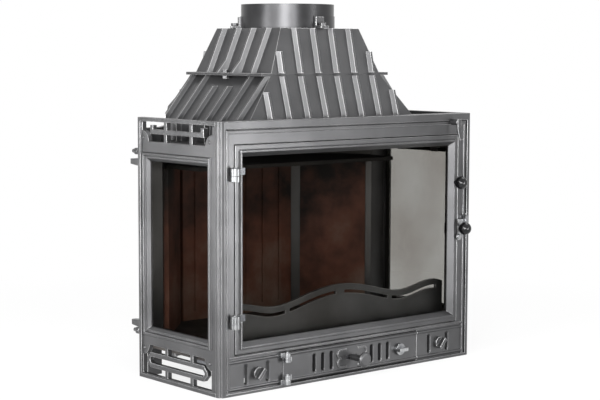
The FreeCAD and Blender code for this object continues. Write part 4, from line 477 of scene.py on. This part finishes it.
def laid_seal():
    """Three-strand seal laid along a path in the XZ plane and pressed flat across Y, then turned
    about Z and put in place."""
    tree, sizes = piece_tree("laid_seal", {"Half Width": 2.7 * MM, "Half Thickness": 0.8 * MM,
                                           "Lay Length": 14.0 * MM, "Turn": 0.0, "Middle X": 0.0,
                                           "Middle Y": 0.0, "Middle Z": 0.0})
    strands, ring_points, path_step = 3, 15, 1.6 * MM
    lobe_rise, lobe_middle = 0.14, 0.86  # of the half width
    path = add(tree, "GeometryNodeResampleCurve", {"Curve": sizes["Geometry"],
                                                   "Length": path_step}, mode="LENGTH")
    along = add(tree, "GeometryNodeSplineParameter").outputs["Length"]
    lays = add(tree, "ShaderNodeMath", {0: along, 1: sizes["Lay Length"]}, operation="DIVIDE")
    twist = add(tree, "ShaderNodeMath", {0: lays, 1: FULL_TURN}, operation="MULTIPLY")
    path = add(tree, "GeometryNodeSetCurveTilt", {"Curve": path, "Tilt": twist})

    ring = add(tree, "GeometryNodeCurvePrimitiveCircle", {"Resolution": ring_points,
                                                          "Radius": sizes["Half Width"]})
    number = add(tree, "GeometryNodeInputIndex")
    angle = add(tree, "ShaderNodeMath", {0: number, 1: strands * FULL_TURN / ring_points},
                operation="MULTIPLY")
    wave = add(tree, "ShaderNodeMath", {0: angle}, operation="COSINE")
    strand = add(tree, "ShaderNodeMath", {0: wave, 1: lobe_rise, 2: lobe_middle},
                 operation="MULTIPLY_ADD")
    spot = add(tree, "GeometryNodeInputPosition")
    lobed = add(tree, "ShaderNodeVectorMath", {0: spot, "Scale": strand}, operation="SCALE")
    lobes = add(tree, "GeometryNodeSetPosition", {"Geometry": ring, "Position": lobed})
    rope = add(tree, "GeometryNodeCurveToMesh", {"Curve": path, "Profile Curve": lobes,
                                                 "Fill Caps": True})

    flat = add(tree, "ShaderNodeMath", {0: sizes["Half Thickness"], 1: sizes["Half Width"]},
               operation="DIVIDE")
    squeeze = add(tree, "ShaderNodeCombineXYZ", {"X": 1.0, "Y": flat, "Z": 1.0})
    pressed = add(tree, "GeometryNodeTransform", {"Geometry": rope, "Scale": squeeze})
    turn = add(tree, "ShaderNodeCombineXYZ", {"Z": sizes["Turn"]})
    middle = add(tree, "ShaderNodeCombineXYZ", {axis: sizes["Middle " + axis] for axis in "XYZ"})
    placed = add(tree, "GeometryNodeTransform", {"Geometry": pressed, "Rotation": turn,
                                                 "Translation": middle})
    smooth = add(tree, "GeometryNodeSetShadeSmooth", {0: placed})
    whole = add(tree, "GeometryNodeRealizeInstances", {0: smooth})
    dressed = add(tree, "GeometryNodeSetMaterial", {"Geometry": whole, "Material": YARN})
    add(tree, "NodeGroupOutput", {0: dressed})
    return tree


def grown(name, data, tree, sizes, body):
    """Runs a tree on points or a path and keeps the result as a plain mesh on one body."""
    seed = bpy.data.objects.new(name + "_seed", data)
    bpy.context.scene.collection.objects.link(seed)
    grower = seed.modifiers.new("grow", "NODES")
    grower.node_group = tree
    for item in tree.interface.items_tree:
        if item.in_out == "INPUT" and item.name in sizes:
            grower[item.identifier] = sizes[item.name]
    bpy.context.view_layer.update()
    ready = seed.evaluated_get(bpy.context.evaluated_depsgraph_get())
    mesh = bpy.data.meshes.new_from_object(ready)
    bpy.data.objects.remove(seed)
    piece = bpy.data.objects.new(name, mesh)
    bpy.context.scene.collection.objects.link(piece)
    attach(piece, body)
    return piece


def fixings(name, places, tree, body):
    """Heads on (place, facing) pairs."""
    mesh = bpy.data.meshes.new(name + "_places")
    mesh.from_pydata([place for place, facing in places], [], [])
    facings = mesh.attributes.new("facing", "FLOAT_VECTOR", "POINT")
    for number, (place, facing) in enumerate(places):
        facings.data[number].vector = facing
    grown(name, mesh, tree, {}, body)


def panel_rivets():
    """Four rivet heads on each side panel, beside the corners of its window moulding."""
    face, rows, heights = 346 * MM, (-178 * MM, 46.5 * MM), (62 * MM, 499 * MM)
    places = [((side * face, y, z), (side, 0, 0))
              for side in (-1, 1) for y in rows for z in heights]
    fixings("panel_rivets", places, rivet_heads(), "insert")


def clip_boxes(node):
    """Boxes of a node's separate clips, from its loose triangles."""
    touch = 0.01 * MM
    axes = range(3)
    mesh = NODES[node].data
    boxes = []
    for face in mesh.polygons:
        spots = [mesh.vertices[number].co for number in face.vertices]
        low = Vector([min(spot[axis] for spot in spots) for axis in axes])
        high = Vector([max(spot[axis] for spot in spots) for axis in axes])
        touching = [box for box in boxes
                    if all(box[0][axis] <= high[axis] + touch and low[axis] <= box[1][axis] + touch
                           for axis in axes)]
        for box in touching:
            low = Vector([min(low[axis], box[0][axis]) for axis in axes])
            high = Vector([max(high[axis], box[1][axis]) for axis in axes])
            boxes.remove(box)
        boxes.append((low, high))
    return boxes


def door_clip_screws(tree):
    """One screw on each flat clip behind the door glass, over the door's stile and off the pane."""
    inset = 4.3 * MM
    middle_z = sum(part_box("door_frame"), Vector()).z / 2
    places = []
    for low, high in clip_boxes("door_glass_clips"):
        x, z = (low.x + high.x) / 2, (low.z + high.z) / 2
        if high.x - low.x > high.z - low.z:
            z = high.z - inset if z > middle_z else low.z + inset
        else:
            x = high.x - inset if x > 0 else low.x + inset
        places.append(((x, high.y, z), (0, 1, 0)))
    fixings("door_clip_screws", places, tree, "main_door")


def side_clip_screws(tree):
    """One screw on the foot of each stepped clip that holds a side pane."""
    inset = 6 * MM
    middle_z = sum(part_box("left_side_glass"), Vector()).z / 2
    places = []
    for node, side in (("left_glass_clips", -1), ("right_glass_clips", 1)):
        for low, high in clip_boxes(node):
            x = high.x if side < 0 else low.x
            z = high.z - inset if low.z > middle_z else low.z + inset
            places.append(((x, (low.y + high.y) / 2, z), (-side, 0, 0)))
    fixings("side_clip_screws", places, tree, "insert")


def ring_path(name, half_across, half_up):
    """Closed rounded rectangle about the origin in the XZ plane."""
    radius, corner_steps = 6 * MM, 6
    spots = []
    for side, rise, start in ((1, 1, 0), (-1, 1, 90), (-1, -1, 180), (1, -1, 270)):
        for step in range(corner_steps + 1):
            turn = math.radians(start + 90 * step / corner_steps)
            x = side * (half_across - radius) + radius * math.cos(turn)
            z = rise * (half_up - radius) + radius * math.sin(turn)
            spots.append((x, 0.0, z, 1.0))
    curve = bpy.data.curves.new(name, "CURVE")
    curve.dimensions = "3D"
    spline = curve.splines.new("POLY")
    spline.points.add(len(spots) - 1)
    for point, spot in zip(spline.points, spots):
        point.co = spot
    spline.use_cyclic_u = True
    return curve


def seal(node, body, tree, width_mm, lay_mm):
    """A laid seal in the room of its CAD ring."""
    slack_across, slack_through = 0.1 * MM, 0.05 * MM
    low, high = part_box(node)
    size, middle = high - low, (low + high) / 2
    thin = min(range(3), key=lambda axis: size[axis])
    in_side = thin == 0
    half = width_mm * MM / 2
    across = size.y if in_side else size.x
    path = ring_path(node + "_path", across / 2 - half, size.z / 2 - half)
    sizes = {"Half Width": half - slack_across, "Half Thickness": size[thin] / 2 - slack_through,
             "Lay Length": lay_mm * MM, "Turn": math.pi / 2 if in_side else 0.0,
             "Middle X": middle.x, "Middle Y": middle.y, "Middle Z": middle.z}
    piece = grown(node.replace("_seal", "") + "_yarn", path, tree, sizes, body)
    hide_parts(node)


panel_rivets()
screws = slotted_screws()
door_clip_screws(screws)
side_clip_screws(screws)
laid = laid_seal()
seal("door_rope_seal", "main_door", laid, width_mm=5.5, lay_mm=14.0)
for ring_node, ring_body in (("door_glass_seal", "main_door"), ("left_glass_seal", "insert"),
                             ("right_glass_seal", "insert")):
    seal(ring_node, ring_body, laid, width_mm=7.0, lay_mm=9.0)


# Floor, light and camera

def looked_at(tree):
    """1 for what the eye sees, straight, in metal or in glass, and 0 for other rays."""
    path = add(tree, "ShaderNodeLightPath").outputs
    seen = add(tree, "ShaderNodeMath", {0: path["Is Camera Ray"], 1: path["Is Glossy Ray"]},
               operation="MAXIMUM")
    return add(tree, "ShaderNodeMath", {0: seen, 1: path["Is Transmission Ray"]},
               operation="MAXIMUM")


def studio_floor():
    """Matt pale floor that keeps a faint shadow and runs out to plain white."""
    made, tree, place = finish_tree("matt_studio_floor")
    fade_from, fade_to, white_near, reach = 0.5, 1.4, 0.82, 12.0
    away = add(tree, "ShaderNodeVectorMath", {0: place}, operation="LENGTH").outputs["Value"]
    fade = add(tree, "ShaderNodeMapRange", {VALUE: away, FROM_LOW: fade_from, FROM_HIGH: fade_to,
                                            TO_LOW: white_near, TO_HIGH: 1.0})
    share = add(tree, "ShaderNodeMath", {0: fade, 1: looked_at(tree)}, operation="MULTIPLY")
    matt = add(tree, "ShaderNodeBsdfDiffuse", {"Color": linear("#f4f4f4")})
    white = add(tree, "ShaderNodeEmission", {"Color": linear("#ffffff"), "Strength": 1.0})
    both = add(tree, "ShaderNodeMixShader", {0: share, 1: matt, 2: white})
    add(tree, "ShaderNodeOutputMaterial", {"Surface": both})
    mesh = bpy.data.meshes.new("floor")
    corners = [(x * reach, y * reach, 0) for x, y in ((-1, -1), (1, -1), (1, 1), (-1, 1))]
    mesh.from_pydata(corners, [], [range(len(corners))])
    mesh.materials.append(made)
    floor = bpy.data.objects.new("floor", mesh)
    bpy.context.scene.collection.objects.link(floor)


def studio_sky():
    """White to the eye, in metal and in glass, and a plain soft light elsewhere."""
    world = bpy.data.worlds.new("studio_sky")
    bpy.context.scene.world = world
    world.use_nodes = True
    tree = world.node_tree
    tree.nodes.clear()
    soft, white = 0.5, 1.0
    strength = add(tree, "ShaderNodeMapRange", {VALUE: looked_at(tree), FROM_LOW: 0.0,
                                                FROM_HIGH: 1.0, TO_LOW: soft, TO_HIGH: white})
    sky = add(tree, "ShaderNodeBackground", {"Color": linear("#ffffff"), "Strength": strength})
    add(tree, "ShaderNodeOutputWorld", {"Surface": sky})


def softbox(name, place, target, width, height, watts):
    """A lamp with a flat rectangular face turned to its target, unseen by the camera and
    through the panes."""
    light = bpy.data.lights.new(name, "AREA")
    light.shape = "RECTANGLE"
    light.size = width
    light.size_y = height
    light.energy = watts
    made = bpy.data.objects.new(name, light)
    bpy.context.scene.collection.objects.link(made)
    made.visible_camera = False
    made.visible_transmission = False
    made.location = place
    made.rotation_euler = (Vector(target) - Vector(place)).to_track_quat("-Z", "Y").to_euler()


def photo_camera():
    """Camera fitted to the body's corners in the 600 by 400 picture."""
    picture_width, focal_pixels, sensor_mm = 600, 1547.8, 36.0
    place = (-2.1483, -2.5786, 0.6816)
    yaw, pitch, roll = (math.radians(angle) for angle in (40.276, -5.611, 0.153))
    ahead = Vector((math.sin(yaw) * math.cos(pitch), math.cos(yaw) * math.cos(pitch),
                    math.sin(pitch)))
    level = Vector((math.cos(yaw), -math.sin(yaw), 0.0))
    upright = level.cross(ahead)
    side = level * math.cos(roll) + upright * math.sin(roll)
    up = upright * math.cos(roll) - level * math.sin(roll)
    lens = bpy.data.cameras.new("photo_camera")
    lens.sensor_fit = "HORIZONTAL"
    lens.sensor_width = sensor_mm
    lens.lens = sensor_mm * focal_pixels / picture_width
    lens.clip_end = 50.0
    camera = bpy.data.objects.new("photo_camera", lens)
    bpy.context.scene.collection.objects.link(camera)
    turn = Matrix((side, up, -ahead)).transposed()
    camera.matrix_world = Matrix.Translation(place) @ turn.to_4x4()
    bpy.context.scene.camera = camera


studio_floor()
studio_sky()

# Each lamp's place, its target, the width and height of its face, and its watts
LAMPS = {
    # Sheen on the left of the front, and a second one low down
    "front_strip": ((1.2, -2.45, 0.75), (-0.3, -0.2, 0.3), 0.25, 1.5, 11.0),
    "near_front_strip": ((0.47, -1.4, 0.24), (-0.33, -0.2, 0.25), 0.16, 0.46, 10.0),
    # Band of light down the collar
    "corner_softbox": ((-3.06, -2.9, 0.9), (-0.2, -0.1, 0.4), 1.7, 1.6, 210.0),
    # Sheen on the left side panel
    "near_side_strip": ((-1.5, 1.12, 0.2), (-0.35, -0.2, 0.2), 0.2, 0.5, 6.0),
    # Bright edges on the front's left stile
    "stile_strip": ((-1.45, -3.25, 0.6), (-0.3, -0.2, 0.3), 0.5, 1.2, 40.0),
    # Soft light on the hood's left
    "left_softbox": ((-2.7, -0.9, 1.5), (-0.1, -0.1, 0.6), 0.8, 1.0, 40.0),
    # Bright edge down the corner post
    "post_strip": ((-1.9, 0.0, 0.3), (-0.35, -0.2, 0.3), 0.35, 0.9, 27.0),
    # Soft light on the top
    "top_softbox": ((1.4, -0.3, 2.5), (0.0, 0.0, 0.6), 1.2, 1.0, 18.0),
}
for lamp_name, lamp in LAMPS.items():
    softbox(lamp_name, *lamp)
photo_camera()
bpy.context.scene.view_settings.view_transform = "Standard"
